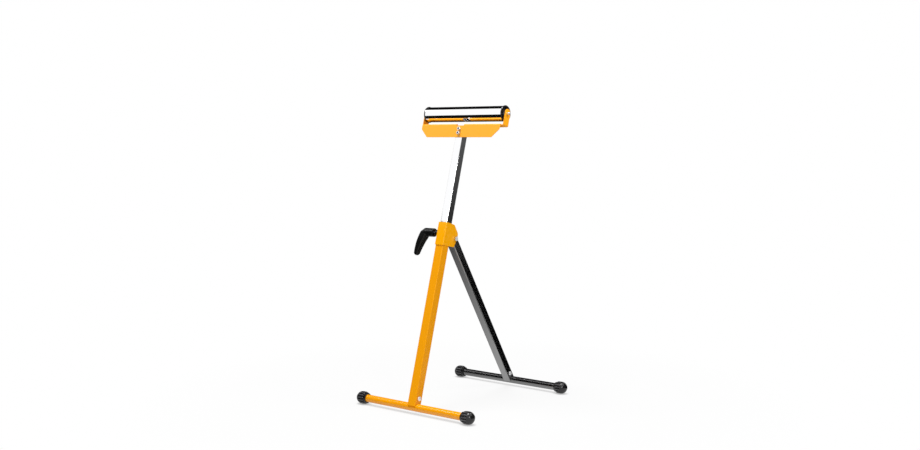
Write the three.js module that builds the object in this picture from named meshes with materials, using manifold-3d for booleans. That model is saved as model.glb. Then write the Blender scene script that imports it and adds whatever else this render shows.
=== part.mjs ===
// A folding roller stand that carries long stock beside a saw. Two square legs stand on cross tubes
// and fold at a pivot, a chromed post slides in the front leg under a clamping lever, and a bracket
// on the post carries a free-running roller.
// Millimetres, +Z up, the roller lies along X, the front faces -Y, and the origin is on the floor
// midway between the two feet.
import * as THREE from "three";
import { mergeVertices } from "three/addons/utils/BufferGeometryUtils.js";
import Module from "manifold-3d";

const wasm = await Module();
wasm.setup();

const { degToRad } = THREE.MathUtils;

// Driving dimensions

const FIT = 0.3; // gap between pieces that touch, slide or turn on each other

// Stance
const FOOT_SPACING = 463; // from the front cross tube's axis to the rear one's
const LEAN = degToRad(16); // front leg, back from the vertical
const COLLAR_UP = 466; // collar's lower edge, along the front leg from its cross tube's axis

// Square tubes
const LEG_SIZE = 28;
const LEG_WALL = 1.2;
const REAR_WALL = 1.2;
const POST_WALL = 1.2;
const POST_LENGTH = 589;
const TUBE_CORNER = 3; // outer corner radius of every square tube
const LEG_HEM = 3.5; // lower end of a leg's walls, above its cross tube's axis

// Cross tubes and what joins them to the legs
const FOOT_TUBE_SIZE = 22;
const FOOT_TUBE_WALL = 1.5;
const STUB_WALL = 1.5;
const STUB_TOP = 42;
const FOOT_BOLT_UP = 26;
const FOOT_BOLT_SIZE = 6;
const FOOT_BOLT_HEAD = 13;
const FOOT_BOLT_DOME = 3.6;

// Fluted foot caps
const CAP_RIM_OFFSET = 175; // from the stand's middle to a cap's rim
const CAP_LENGTH = 38.4;
const CAP_RIM_RADIUS = 14.6;
const CAP_RIM_BAND = 6; // plain band next to the tube
const CAP_SHOULDER_RADIUS = 16.8; // where the fluted barrel starts
const CAP_RADIUS = 18.2; // over the lands of the belt, which stand on the floor
const CAP_BELT_START = 13;
const CAP_BELT_END = 20;
const CAP_BORE_DEPTH = 26;
const FLUTE_COUNT = 14;
const FLUTE_DEPTH = 2;
const FLUTE_LENGTH = 27;
const LAND_SHARE = 0.5; // of the pitch between two flutes

// Collar at the head of the front leg
const COLLAR_SHEET = 1.5;
const COLLAR_HEIGHT = 67;
const COLLAR_BEND = 2.5;
const CHEEK_NOSE = 9; // behind the pivot's axis
const CHEEK_STRAIGHT = 14.5; // upright part of the nose
const CHEEK_RISE = 3; // of the cheek's lower edge, from the leg to the pivot
const CHEEK_CORNER = 5;
const LEG_TOP_SET = 1; // the leg ends this far below the collar's top edge

// Pivot of the rear leg
const PIVOT_RISE = 28.6; // above the collar's lower edge
const PIVOT_BACK = 34.6; // behind the front leg's centre line
const PIVOT_SIZE = 8;
const PIVOT_BUSH_WALL = 2;
const PIVOT_WASHER = 0.95;
const PIVOT_WASHER_SIZE = 20;

// Hexagon sizes, across flats and high
const HEX_6 = { flats: 10, high: 5 };
const HEX_8 = { flats: 13, high: 5.3 };
const LOCK_NUT_COLLAR = 2.5; // plain collar on a locking nut
const BOLT_END = 1.8; // thread left showing past a nut

// Clamp
const CLAMP_RISE = 36.5; // above the collar's lower edge
const CLAMP_STUD_SIZE = 10;
const CLAMP_PAD_SIZE = 12;
const CLAMP_BOSS_SIZE = 18;
const CLAMP_BOSS_LENGTH = 10;
const CLAMP_TRAVEL = 1.2; // the pad backs off this far
const INSERT_START = 19.5; // from the collar to the steel insert of the lever
const INSERT_SIZE = 17.4;
const INSERT_COLLAR = 11.5;
const TOOTH_COUNT = 10;
const TOOTH_HEIGHT = 1.1;
const TOOTH_LENGTH = 5;
const LEVER_SCREW_SIZE = 5;
const LEVER_SCREW_GRIP = 10; // of the screw in the insert
const LEVER_SCREW_HEAD = 9.6;
const LEVER_SCREW_HEAD_HIGH = 3.5;
const SPRING_WIRE = 0.9;
const SPRING_LENGTH = 12;
const SPRING_COILS = 4;

// Moulded lever
const HUB_SIZE = 25;
const HUB_SET = 0.5; // the hub's face lies this far outside the insert's
const HUB_LENGTH = 38;
const HUB_ROUND = 5;
const HUB_WEB = 3;
const LEVER_REACH = 70; // from the hub's axis to the tip
const GRIP_RECESS = 4;
const GRIP_EDGE = 4.5; // wall left beside the recess

// Head bracket
const HEAD_SHEET = 2;
const HEAD_BEND = 3.5;
const HEAD_RAISED = 191.2; // above the lowest setting, as the stand is shown
const SKIRT_HALF = 143;
const SKIRT_HEIGHT = 40;
const SKIRT_CHAMFER = 24;
const WEB_BACK = 17; // rear edge of the web, behind the post's centre line
const EAR_STANDOFF = 6.2; // ears' outer faces, past the skirt's ends
const EAR_WIDTH = 24;
const EAR_TOP = 48; // above the web
const NOTCH_WIDTH = 28;
const NOTCH_DEPTH = 4.8;
const HEAD_SCREW_SIZE = 6;
const HEAD_SCREW_HEAD = 10;
const HEAD_SCREW_HEAD_HIGH = 6;
const HEAD_SCREW_SOCKET = 5;
const HEAD_SCREW_TOP = 15; // upper screw below the web
const HEAD_SCREW_SPACING = 12.5;

// Plug in the post's lower end
const PLUG_FLANGE = 2;
const PLUG_STEM = 16;
const PLUG_WALL = 2;
const LOW_STOP = 1.7; // left between the plug and the stub at the lowest setting

// Roller
const ROLLER_SIZE = 44.6;
const ROLLER_WALL = 1.5;
const ROLLER_UP = 35; // axis above the web
const ROLLER_BACK = 5; // axis behind the post's centre line
const END_PLAY = 4.6; // between the roller's ends and the ears
const END_FLANGE = 2.5;
const END_FLANGE_RIM = 1.6; // the flange stands this far out past the tube
const END_PLUG = 16;
const END_POCKET_IN = 13;
const END_POCKET_OUT = 18.8;
const END_POCKET_DEPTH = 5;
const END_RIBS = 14;
const END_RIB_WIDTH = 1.5;
const AXLE_SIZE = 8;
const AXLE_END = 7.6; // past the ears
const AXLE_CLIP = 1;
const AXLE_CLIP_RIM = 3;
const SPACER_WALL = 1.7;

// Ball bearing in each end of the roller
const BEARING_SIZE = 22;
const BEARING_WIDTH = 7;
const BEARING_INSET = 6.5; // below the roller's end
const INNER_RACE_WALL = 1.9;
const OUTER_RACE_WALL = 1.7;
const RACE_GROOVE = 0.8;
const BALL_SIZE = 3.8;
const BALL_COUNT = 7;
const CAGE_SECTION = 1.2;

// Round sections
const ROUND = 14; // sides of small round pieces
const ROUND_MEDIUM = 24; // sides of bearings and cross tubes
const ROUND_LARGE = 40; // sides of the roller
const WELD = 1e-4; // vertices closer than this are one

// Worked-out dimensions

const postSize = LEG_SIZE - 2 * LEG_WALL - 2 * FIT;
const cheekInner = LEG_SIZE / 2 + FIT;
const cheekOuter = cheekInner + COLLAR_SHEET;
const rearSize = 2 * (cheekInner - PIVOT_WASHER - 2 * FIT);
const footTubeRadius = FOOT_TUBE_SIZE / 2;
const collarTop = COLLAR_UP + COLLAR_HEIGHT;
const clampUp = COLLAR_UP + CLAMP_RISE;
const pivotUp = COLLAR_UP + PIVOT_RISE;
const pivotY = PIVOT_BACK * Math.cos(LEAN) + pivotUp * Math.sin(LEAN);
const pivotZ = pivotUp * Math.cos(LEAN) - PIVOT_BACK * Math.sin(LEAN);
const rearReach = Math.hypot(FOOT_SPACING - pivotY, pivotZ);
const rearLean = Math.atan2(FOOT_SPACING - pivotY, pivotZ);
const openAngle = LEAN + rearLean;
const headLow = STUB_TOP + LOW_STOP + PLUG_FLANGE + FIT + POST_LENGTH;
const headUp = headLow + HEAD_RAISED;
const skirtFront = -(postSize / 2 + FIT + HEAD_SHEET);
const earOuter = SKIRT_HALF + EAR_STANDOFF;
const earInner = earOuter - HEAD_SHEET;
const rollerHalf = earInner - END_PLAY;

// Solids

function solidOf(geometry) {
  const bare = geometry.index ? geometry.toNonIndexed() : geometry.clone();
  bare.deleteAttribute("normal");
  bare.deleteAttribute("uv");
  const merged = mergeVertices(bare, WELD);
  const corners = merged.index.array;
  const faces = [];
  for (let i = 0; i < corners.length; i += 3) {
    const [a, b, c] = corners.slice(i, i + 3);
    if (a !== b && b !== c && c !== a) faces.push(a, b, c);
  }
  const build = (triangles) =>
    new wasm.Manifold(
      new wasm.Mesh({
        numProp: 3,
        vertProperties: merged.attributes.position.array,
        triVerts: new Uint32Array(triangles),
      }),
    );
  const made = build(faces);
  return made.volume() < 0 ? build(faces.reverse()) : made;
}

function geometryOf(solid) {
  const mesh = solid.getMesh();
  const geometry = new THREE.BufferGeometry();
  geometry.setAttribute("position", new THREE.BufferAttribute(mesh.vertProperties, 3));
  geometry.setIndex(new THREE.BufferAttribute(mesh.triVerts, 1));
  return geometry;
}

function join(...pieces) {
  const [first, ...rest] = pieces.map(solidOf);
  return geometryOf(rest.reduce((whole, piece) => whole.add(piece), first));
}

function cut(piece, ...tools) {
  const cutAway = (whole, tool) => whole.subtract(solidOf(tool));
  return geometryOf(tools.reduce(cutAway, solidOf(piece)));
}

function common(...pieces) {
  const [first, ...rest] = pieces.map(solidOf);
  return geometryOf(rest.reduce((whole, piece) => whole.intersect(piece), first));
}

// Forms

function roundedRectangle(width, depth, radius) {
  const x = width / 2;
  const y = depth / 2;
  const shape = new THREE.Shape();
  shape.absarc(x - radius, y - radius, radius, 0, Math.PI / 2);
  shape.absarc(radius - x, y - radius, radius, Math.PI / 2, Math.PI);
  shape.absarc(radius - x, radius - y, radius, Math.PI, 1.5 * Math.PI);
  shape.absarc(x - radius, radius - y, radius, 1.5 * Math.PI, 2 * Math.PI);
  return shape;
}

// An outline through corners, each [x, y] or [x, y, radius] where it is rounded.
function outline(corners) {
  const shape = new THREE.Shape();
  corners.forEach(([x, y, radius = 0], i) => {
    const here = new THREE.Vector2(x, y);
    const towards = (other) => {
      const way = new THREE.Vector2(other[0] - x, other[1] - y);
      return here.clone().add(way.setLength(radius));
    };
    const start = towards(corners.at(i - 1));
    const end = towards(corners[(i + 1) % corners.length]);
    if (i === 0) shape.moveTo(start.x, start.y);
    else shape.lineTo(start.x, start.y);
    if (radius > 0) shape.quadraticCurveTo(x, y, end.x, end.y);
  });
  shape.closePath();
  return shape;
}

function extrude(shape, depth) {
  return new THREE.ExtrudeGeometry(shape, { depth, bevelEnabled: false, curveSegments: 2 });
}

// A shape drawn in (Y, Z) and drawn out along X.
function alongX(shape, x0, x1) {
  const axes = new THREE.Matrix4().makeBasis(
    new THREE.Vector3(0, 1, 0),
    new THREE.Vector3(0, 0, 1),
    new THREE.Vector3(1, 0, 0),
  );
  return extrude(shape, x1 - x0).applyMatrix4(axes).translate(x0, 0, 0);
}

// A shape drawn in (X, Z) and drawn out along Y.
function alongY(shape, y0, y1) {
  return extrude(shape, y1 - y0).rotateX(Math.PI / 2).translate(0, y1, 0);
}

function box(x0, x1, y0, y1, z0, z1) {
  const block = new THREE.BoxGeometry(x1 - x0, y1 - y0, z1 - z0);
  return block.translate((x0 + x1) / 2, (y0 + y1) / 2, (z0 + z1) / 2);
}

function rodX(size, x0, x1, sides = ROUND) {
  const rod = new THREE.CylinderGeometry(size / 2, size / 2, x1 - x0, sides);
  return rod.rotateZ(-Math.PI / 2).translate((x0 + x1) / 2, 0, 0);
}

// A body of revolution about X through points [radius, x].
function turnedX(profile, sides = ROUND) {
  const points = profile.map(([radius, x]) => new THREE.Vector2(radius, x));
  return new THREE.LatheGeometry(points, sides).rotateZ(-Math.PI / 2);
}

function ringX(outer, inner, x0, x1, sides = ROUND) {
  const corners = [
    [inner / 2, x0],
    [outer / 2, x0],
    [outer / 2, x1],
    [inner / 2, x1],
    [inner / 2, x0],
  ];
  return turnedX(corners, sides);
}

function hexX(flats, x0, x1) {
  return rodX((2 * flats) / Math.sqrt(3), x0, x1, 6);
}

// A closed body through rings of points, all with the same count. Its last ring closes on a tip.
function loft(rings, tip) {
  const count = rings[0].length;
  const middle = (ring) =>
    ring.reduce((sum, point) => sum.add(point), new THREE.Vector3()).divideScalar(count);
  const points = [...rings.flat(), middle(rings[0]), tip ?? middle(rings.at(-1))];
  const last = (rings.length - 1) * count;
  const faces = [];
  for (let i = 0; i < count; i++) {
    const next = (i + 1) % count;
    for (let start = 0; start < last; start += count) {
      faces.push(start + i, start + next, start + count + i);
      faces.push(start + next, start + count + next, start + count + i);
    }
    faces.push(next, i, points.length - 2);
    faces.push(last + i, last + next, points.length - 1);
  }
  const geometry = new THREE.BufferGeometry().setFromPoints(points);
  geometry.setIndex(faces);
  return geometry;
}

function squareTube(size, wall, z0, z1, cornerSteps = 2) {
  const outside = roundedRectangle(size, size, TUBE_CORNER).getPoints(cornerSteps);
  const section = new THREE.Shape(outside);
  const bore = size - 2 * wall;
  const inside = roundedRectangle(bore, bore, TUBE_CORNER - wall).getPoints(1);
  section.holes.push(new THREE.Path(inside));
  return extrude(section, z1 - z0).translate(0, 0, z0);
}

// Finishes

const finish = (color, roughness, metalness) => () =>
  new THREE.MeshStandardMaterial({ color, roughness, metalness, flatShading: true });
const yellowPaint = finish(0xf7a600, 0.4, 0.1);
const blackPaint = finish(0x2b2c2e, 0.45, 0.1);
const chrome = finish(0xd8dade, 0.12, 1);
const zinc = finish(0xb9bcc0, 0.35, 1);
const steel = finish(0x8f9296, 0.4, 1);
const blackPlastic = finish(0x1b1b1c, 0.5, 0);
const greyPlastic = finish(0x6c6e70, 0.6, 0);
const blackSteel = finish(0x2a2b2d, 0.4, 0.8);

function add(group, name, geometry, material) {
  const mesh = new THREE.Mesh(geometry, material());
  mesh.name = name;
  group.add(mesh);
}

// Fasteners along X, with the underside of the head at x = 0 and the head towards +X

function domeBolt(size, head, dome, length) {
  const profile = [
    [0, -length],
    [size / 2, -length],
    [size / 2, 0],
    [head / 2, 0],
    [head / 2, dome / 4],
  ];
  for (const angle of [30, 60, 90].map(degToRad)) {
    const radius = angle < Math.PI / 2 ? (head / 2) * Math.cos(angle) : 0;
    profile.push([radius, dome * (0.25 + 0.75 * Math.sin(angle))]);
  }
  return turnedX(profile);
}

function hexBolt(size, hex, length) {
  return join(rodX(size, -length, hex.high / 2), hexX(hex.flats, 0, hex.high));
}

function socketScrew(size, head, headHigh, socket, length) {
  const body = join(rodX(size, -length, headHigh / 2), rodX(head, 0, headHigh));
  return cut(body, hexX(socket, headHigh / 2, headHigh + 1));
}

function nut(hex, size) {
  return cut(hexX(hex.flats, 0, hex.high), rodX(size + 2 * FIT, -1, hex.high + 1));
}

function lockNut(hex, size) {
  const collar = rodX(hex.flats * 0.88, 0, hex.high + LOCK_NUT_COLLAR);
  const body = join(hexX(hex.flats, 0, hex.high), collar);
  return cut(body, rodX(size + 2 * FIT, -1, hex.high + LOCK_NUT_COLLAR + 1));
}

// Foot caps

// A cap along +X with its rim at x = 0, one land of its belt facing down.
function footCap() {
  const pitch = (2 * Math.PI) / FLUTE_COUNT;
  const landHalf = (LAND_SHARE * pitch) / 2;
  const domeLength = CAP_LENGTH - CAP_BELT_END;
  const radiusAt = (x) => {
    if (x <= CAP_RIM_BAND) return CAP_RIM_RADIUS;
    const rise = Math.min((x - CAP_RIM_BAND) / (CAP_BELT_START - CAP_RIM_BAND), 1);
    const swell = Math.sin((rise * Math.PI) / 2);
    const fall = Math.max(x - CAP_BELT_END, 0) / domeLength;
    const barrel = CAP_SHOULDER_RADIUS + (CAP_RADIUS - CAP_SHOULDER_RADIUS) * swell;
    return barrel * Math.sqrt(1 - fall * fall);
  };
  const depthAt = (x) => {
    if (x <= CAP_RIM_BAND) return 0;
    const fade = (FLUTE_LENGTH - x) / (FLUTE_LENGTH - CAP_BELT_END);
    return FLUTE_DEPTH * THREE.MathUtils.clamp(fade, 0, 1);
  };
  const ringAt = (x) => {
    const land = radiusAt(x) / Math.cos(landHalf);
    const groove = radiusAt(x) - depthAt(x);
    const ring = [];
    for (let i = 0; i < FLUTE_COUNT; i++) {
      const middle = i * pitch - Math.PI / 2;
      const corners = [
        [land, middle - landHalf],
        [land, middle + landHalf],
        [groove, middle + pitch / 2],
      ];
      for (const [radius, angle] of corners)
        ring.push(new THREE.Vector3(x, radius * Math.cos(angle), radius * Math.sin(angle)));
    }
    return ring;
  };
  const domeSteps = [0.4, 0.8].map((share) => CAP_BELT_END + share * domeLength);
  const shoulder = CAP_RIM_BAND + 0.8;
  const stations = [0, CAP_RIM_BAND, shoulder, CAP_BELT_START, CAP_BELT_END, ...domeSteps];
  const bore = rodX(FOOT_TUBE_SIZE + 2 * FIT, -1, CAP_BORE_DEPTH, ROUND_MEDIUM);
  const tip = new THREE.Vector3(CAP_LENGTH, 0, 0);
  return cut(loft(stations.map(ringAt), tip), bore);
}

// One foot: the cross tube and its caps lie level, the stub, bolt and nut lean with the leg.
function addFoot(level, leaning, name, legSize, legWall, paint) {
  const tubeHalf = CAP_RIM_OFFSET + CAP_BORE_DEPTH - FIT;
  const tubeBore = FOOT_TUBE_SIZE - 2 * FOOT_TUBE_WALL;
  const tube = ringX(FOOT_TUBE_SIZE, tubeBore, -tubeHalf, tubeHalf, ROUND_MEDIUM);
  add(level, `${name}_foot_tube`, tube, paint);
  const cap = footCap();
  const rightCap = cap.clone().translate(CAP_RIM_OFFSET, 0, 0);
  const leftCap = cap.clone().rotateZ(Math.PI).translate(-CAP_RIM_OFFSET, 0, 0);
  add(level, `${name}_foot_cap_right`, rightCap, blackPlastic);
  add(level, `${name}_foot_cap_left`, leftCap, blackPlastic);

  const stubSize = legSize - 2 * legWall - 2 * FIT;
  const boltHole = rodX(FOOT_BOLT_SIZE + 2 * FIT, -legSize, legSize).translate(0, 0, FOOT_BOLT_UP);
  const saddle = rodX(FOOT_TUBE_SIZE + 2 * FIT, -legSize, legSize, ROUND_MEDIUM);
  const stubTube = squareTube(stubSize, STUB_WALL, LEG_HEM, STUB_TOP, 1);
  const stub = cut(stubTube, saddle, boltHole);
  add(leaning, `${name}_foot_stub`, stub, paint);

  const seat = legSize / 2 + FIT;
  const length = 2 * seat + HEX_6.high + BOLT_END;
  const bolt = domeBolt(FOOT_BOLT_SIZE, FOOT_BOLT_HEAD, FOOT_BOLT_DOME, length);
  add(leaning, `${name}_foot_bolt`, bolt.translate(seat, 0, FOOT_BOLT_UP), zinc);
  const footNut = nut(HEX_6, FOOT_BOLT_SIZE).translate(-seat - HEX_6.high, 0, FOOT_BOLT_UP);
  add(leaning, `${name}_foot_nut`, footNut, zinc);
  return [saddle, boltHole];
}

// Front frame

const stand = new THREE.Group();

const frontLevel = new THREE.Group();
frontLevel.position.set(0, -FOOT_SPACING / 2, CAP_RADIUS);
stand.add(frontLevel);

// Here X is across, Y is back from the leg's centre line and Z is up along the leg.
const front = new THREE.Group();
front.rotation.x = -LEAN;
frontLevel.add(front);

const frontCuts = addFoot(frontLevel, front, "front", LEG_SIZE, LEG_WALL, yellowPaint);

const clampHole = rodX(CLAMP_PAD_SIZE + 2 * FIT, -2 * LEG_SIZE, 0).translate(0, 0, clampUp);
const legTube = squareTube(LEG_SIZE, LEG_WALL, LEG_HEM, collarTop - LEG_TOP_SET);
add(front, "front_leg", cut(legTube, ...frontCuts, clampHole), yellowPaint);

// The collar is a folded sheet: a front plate and two cheeks that reach back round the pivot.
function pivotCollar() {
  const nose = PIVOT_BACK + CHEEK_NOSE;
  const cheek = outline([
    [-cheekOuter, COLLAR_UP],
    [PIVOT_BACK, COLLAR_UP + CHEEK_RISE, CHEEK_CORNER],
    [nose, pivotUp + 2, CHEEK_CORNER],
    [nose, pivotUp + 2 + CHEEK_STRAIGHT, CHEEK_CORNER],
    [LEG_SIZE / 2 + 7, collarTop, CHEEK_CORNER],
    [-cheekOuter, collarTop],
  ]);
  const depth = 2 * (nose + cheekOuter);
  const plan = roundedRectangle(2 * cheekOuter, depth, COLLAR_BEND);
  const folded = extrude(plan, COLLAR_HEIGHT).translate(0, depth / 2 - cheekOuter, COLLAR_UP);
  const inside = box(-cheekInner, cheekInner, -cheekInner, depth, COLLAR_UP - 1, collarTop + 1);
  const pivotHole = rodX(PIVOT_SIZE + 2 * FIT, -LEG_SIZE, LEG_SIZE);
  pivotHole.translate(0, PIVOT_BACK, pivotUp);
  const cheeks = common(alongX(cheek, -LEG_SIZE, LEG_SIZE), folded);
  return cut(cheeks, inside, pivotHole, clampHole);
}
add(front, "pivot_collar", pivotCollar(), yellowPaint);

const pivot = new THREE.Group();
pivot.position.set(0, PIVOT_BACK, pivotUp);
front.add(pivot);

const pivotSeat = cheekOuter + FIT;
const lockNutHigh = HEX_8.high + LOCK_NUT_COLLAR;
const pivotLength = 2 * pivotSeat + lockNutHigh + BOLT_END;
add(pivot, "pivot_bolt", hexBolt(PIVOT_SIZE, HEX_8, pivotLength).translate(pivotSeat, 0, 0), zinc);
const pivotNut = lockNut(HEX_8, PIVOT_SIZE).rotateZ(Math.PI).translate(-pivotSeat, 0, 0);
add(pivot, "pivot_nut", pivotNut, zinc);
const washerBore = PIVOT_SIZE + 2 * FIT;
const washerOut = cheekInner - FIT;
const washerIn = washerOut - PIVOT_WASHER;
const rightWasher = ringX(PIVOT_WASHER_SIZE, washerBore, washerIn, washerOut);
add(pivot, "pivot_washer_right", rightWasher, greyPlastic);
add(pivot, "pivot_washer_left", rightWasher.clone().rotateZ(Math.PI), greyPlastic);

// Rear frame

const rearLevel = new THREE.Group();
rearLevel.position.set(0, FOOT_SPACING / 2, CAP_RADIUS);
stand.add(rearLevel);

// Here Z is up along the rear leg, from its cross tube to the pivot.
const rear = new THREE.Group();
rear.rotation.x = rearLean;
rearLevel.add(rear);

const rearCuts = addFoot(rearLevel, rear, "rear", rearSize, REAR_WALL, blackPaint);
const bushSize = PIVOT_SIZE + 2 * FIT + 2 * PIVOT_BUSH_WALL;
const bushHole = rodX(bushSize + 2 * FIT, -rearSize, rearSize).translate(0, 0, rearReach);
// Its top end is cut slanting, to lie against the front leg's back when the stand is open.
const stop = box(-LEG_SIZE, LEG_SIZE, -2 * PIVOT_BACK, LEG_SIZE / 2 + FIT - PIVOT_BACK, 0, PIVOT_BACK * 3);
stop.rotateX(-openAngle).translate(0, 0, rearReach);
const rearTube = squareTube(rearSize, REAR_WALL, LEG_HEM, rearReach + 1.5 * PIVOT_BACK);
add(rear, "rear_leg", cut(rearTube, ...rearCuts, bushHole, stop), blackPaint);
const bush = ringX(bushSize, PIVOT_SIZE + 2 * FIT, -rearSize / 2, rearSize / 2);
add(rear, "rear_pivot_bush", bush.translate(0, 0, rearReach), steel);

// Post and head, with Z = 0 at the top of the bracket's web

const head = new THREE.Group();
head.position.z = headUp;
front.add(head);

const headScrewHeights = [-HEAD_SCREW_TOP, -HEAD_SCREW_TOP - HEAD_SCREW_SPACING];
const headScrewHoles = headScrewHeights.map((z) => {
  const hole = rodX(HEAD_SCREW_SIZE + 2 * FIT, -LEG_SIZE, LEG_SIZE);
  return hole.rotateZ(Math.PI / 2).translate(0, 0, z);
});

const postTube = squareTube(postSize, POST_WALL, -POST_LENGTH, 0);
add(head, "post_tube", cut(postTube, ...headScrewHoles), chrome);

function postPlug() {
  const stemSize = postSize - 2 * POST_WALL - 2 * FIT;
  const flange = extrude(roundedRectangle(postSize, postSize, TUBE_CORNER), PLUG_FLANGE);
  const stemSection = roundedRectangle(stemSize, stemSize, TUBE_CORNER - POST_WALL);
  const stem = extrude(stemSection, PLUG_FLANGE + PLUG_STEM);
  const hollowSize = stemSize - 2 * PLUG_WALL;
  const hollow = extrude(roundedRectangle(hollowSize, hollowSize, 1), 2 * PLUG_STEM);
  const plug = cut(join(flange, stem), hollow.translate(0, 0, PLUG_FLANGE));
  return plug.translate(0, 0, -POST_LENGTH - FIT - PLUG_FLANGE);
}
add(head, "post_end_plug", postPlug(), blackPlastic);

// The bracket is one bent sheet: a skirt in front, a web under the roller, and an ear at each end.
function headBracket() {
  const innerBend = HEAD_BEND - HEAD_SHEET;
  const skirtBack = skirtFront + HEAD_SHEET;
  const section = outline([
    [skirtFront, -SKIRT_HEIGHT],
    [skirtBack, -SKIRT_HEIGHT],
    [skirtBack, -HEAD_SHEET, innerBend],
    [WEB_BACK, -HEAD_SHEET],
    [WEB_BACK, 0],
    [skirtFront, 0, HEAD_BEND],
  ]);
  const straight = SKIRT_HEIGHT - SKIRT_CHAMFER;
  const face = outline([
    [-SKIRT_HALF, 1],
    [-SKIRT_HALF, -straight, 2],
    [SKIRT_CHAMFER - SKIRT_HALF, -SKIRT_HEIGHT, 2],
    [SKIRT_HALF - SKIRT_CHAMFER, -SKIRT_HEIGHT, 2],
    [SKIRT_HALF, -straight, 2],
    [SKIRT_HALF, 1],
  ]);
  const angle = alongX(section, -SKIRT_HALF, SKIRT_HALF);
  const trimmed = common(angle, alongY(face, skirtFront - 1, WEB_BACK + 1));

  const ear0 = ROLLER_BACK - EAR_WIDTH / 2;
  const ear1 = ROLLER_BACK + EAR_WIDTH / 2;
  const earFold = outline([
    [SKIRT_HALF - 1, -HEAD_SHEET],
    [earOuter, -HEAD_SHEET, HEAD_BEND],
    [earOuter, EAR_TOP],
    [earInner, EAR_TOP],
    [earInner, 0, innerBend],
    [SKIRT_HALF - 1, 0],
  ]);
  const earShape = new THREE.Shape();
  earShape.moveTo(ear0, -HEAD_SHEET);
  earShape.lineTo(ear1, -HEAD_SHEET);
  earShape.absarc(ROLLER_BACK, EAR_TOP - EAR_WIDTH / 2, EAR_WIDTH / 2, 0, Math.PI);
  const folded = alongY(earFold, ear0, ear1);
  const rightEar = common(folded, alongX(earShape, SKIRT_HALF - 2, earOuter + 1));
  const toLeft = new THREE.Matrix4().makeTranslation(0, 2 * ROLLER_BACK, 0);
  const leftEar = rightEar.clone().rotateZ(Math.PI).applyMatrix4(toLeft);

  const postHalf = postSize / 2 + FIT;
  const postHole = box(-postHalf, postHalf, skirtFront - 1, postHalf, -NOTCH_DEPTH, 1);
  const notchHalf = NOTCH_WIDTH / 2;
  const notchBack = skirtFront + HEAD_BEND;
  const notch = box(-notchHalf, notchHalf, skirtFront - 1, notchBack, -NOTCH_DEPTH, 1);
  const axleHole = rodX(AXLE_SIZE + 2 * FIT, -2 * earOuter, 2 * earOuter);
  axleHole.translate(0, ROLLER_BACK, ROLLER_UP);
  return cut(join(trimmed, rightEar, leftEar), postHole, notch, axleHole, ...headScrewHoles);
}
add(head, "head_bracket", headBracket(), yellowPaint);

const screwGrip = postSize + HEAD_SHEET + 3 * FIT;
["upper", "lower"].forEach((place, i) => {
  const length = screwGrip + HEX_6.high + BOLT_END;
  const screw = socketScrew(
    HEAD_SCREW_SIZE,
    HEAD_SCREW_HEAD,
    HEAD_SCREW_HEAD_HIGH,
    HEAD_SCREW_SOCKET,
    length,
  );
  screw.rotateZ(-Math.PI / 2).translate(0, skirtFront - FIT, headScrewHeights[i]);
  add(head, `head_screw_${place}`, screw, zinc);
  const screwNut = nut(HEX_6, HEAD_SCREW_SIZE).rotateZ(Math.PI / 2);
  add(head, `head_nut_${place}`, screwNut.translate(0, postSize / 2 + FIT, headScrewHeights[i]), zinc);
});

// Roller and axle, about the roller's axis

const roller = new THREE.Group();
roller.position.set(0, ROLLER_BACK, ROLLER_UP);
head.add(roller);

const rollerBore = ROLLER_SIZE - 2 * ROLLER_WALL;
const flangeInner = rollerHalf - END_FLANGE;
const tubeEnd = flangeInner - FIT;
const bearingOuter = rollerHalf - BEARING_INSET;
const bearingInner = bearingOuter - BEARING_WIDTH;
const bearingMiddle = (bearingOuter + bearingInner) / 2;
const axleBore = AXLE_SIZE + 2 * FIT;
const axleHalf = earOuter + AXLE_END;

const rollerTube = ringX(ROLLER_SIZE, rollerBore, -tubeEnd, tubeEnd, ROUND_LARGE);
add(roller, "roller_tube", rollerTube, chrome);
add(roller, "axle", axle(), zinc);

function axle() {
  const radius = AXLE_SIZE / 2;
  const round = 1;
  const end = [
    [radius, axleHalf - round],
    [radius - round * 0.3, axleHalf - round * 0.3],
    [radius - round, axleHalf],
    [0, axleHalf],
  ];
  const other = end.map(([r, x]) => [r, -x]).reverse();
  return turnedX([...other, ...end]);
}

// A black end plug with a ring of radial ribs round the bearing's seat, for the +X end.
function rollerEnd() {
  const plug = (rollerBore - 2 * FIT) / 2;
  const floor = rollerHalf - END_POCKET_DEPTH;
  const lip = 1.2;
  const seat = BEARING_SIZE / 2 + FIT;
  const rim = ROLLER_SIZE / 2 + END_FLANGE_RIM;
  const profile = [
    [AXLE_SIZE, flangeInner - END_PLUG],
    [plug, flangeInner - END_PLUG],
    [plug, flangeInner],
    [rim, flangeInner],
    [rim, rollerHalf - lip],
    [rim - lip, rollerHalf],
    [END_POCKET_OUT, rollerHalf],
    [END_POCKET_OUT, floor],
    [END_POCKET_IN, floor],
    [END_POCKET_IN, rollerHalf - lip],
    [seat, rollerHalf - lip],
    [seat, bearingInner - FIT],
    [AXLE_SIZE, bearingInner - FIT],
    [AXLE_SIZE, flangeInner - END_PLUG],
  ];
  const body = turnedX(profile, 2 * END_RIBS);
  const ribHalf = END_RIB_WIDTH / 2;
  const ribs = Array.from({ length: END_RIBS }, (_, i) => {
    const rib = box(
      floor - 1,
      rollerHalf - 2 * lip,
      END_POCKET_IN - lip / 2,
      END_POCKET_OUT + lip,
      -ribHalf,
      ribHalf,
    );
    return rib.rotateX((i * 2 * Math.PI) / END_RIBS);
  });
  return join(body, ...ribs);
}

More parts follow.
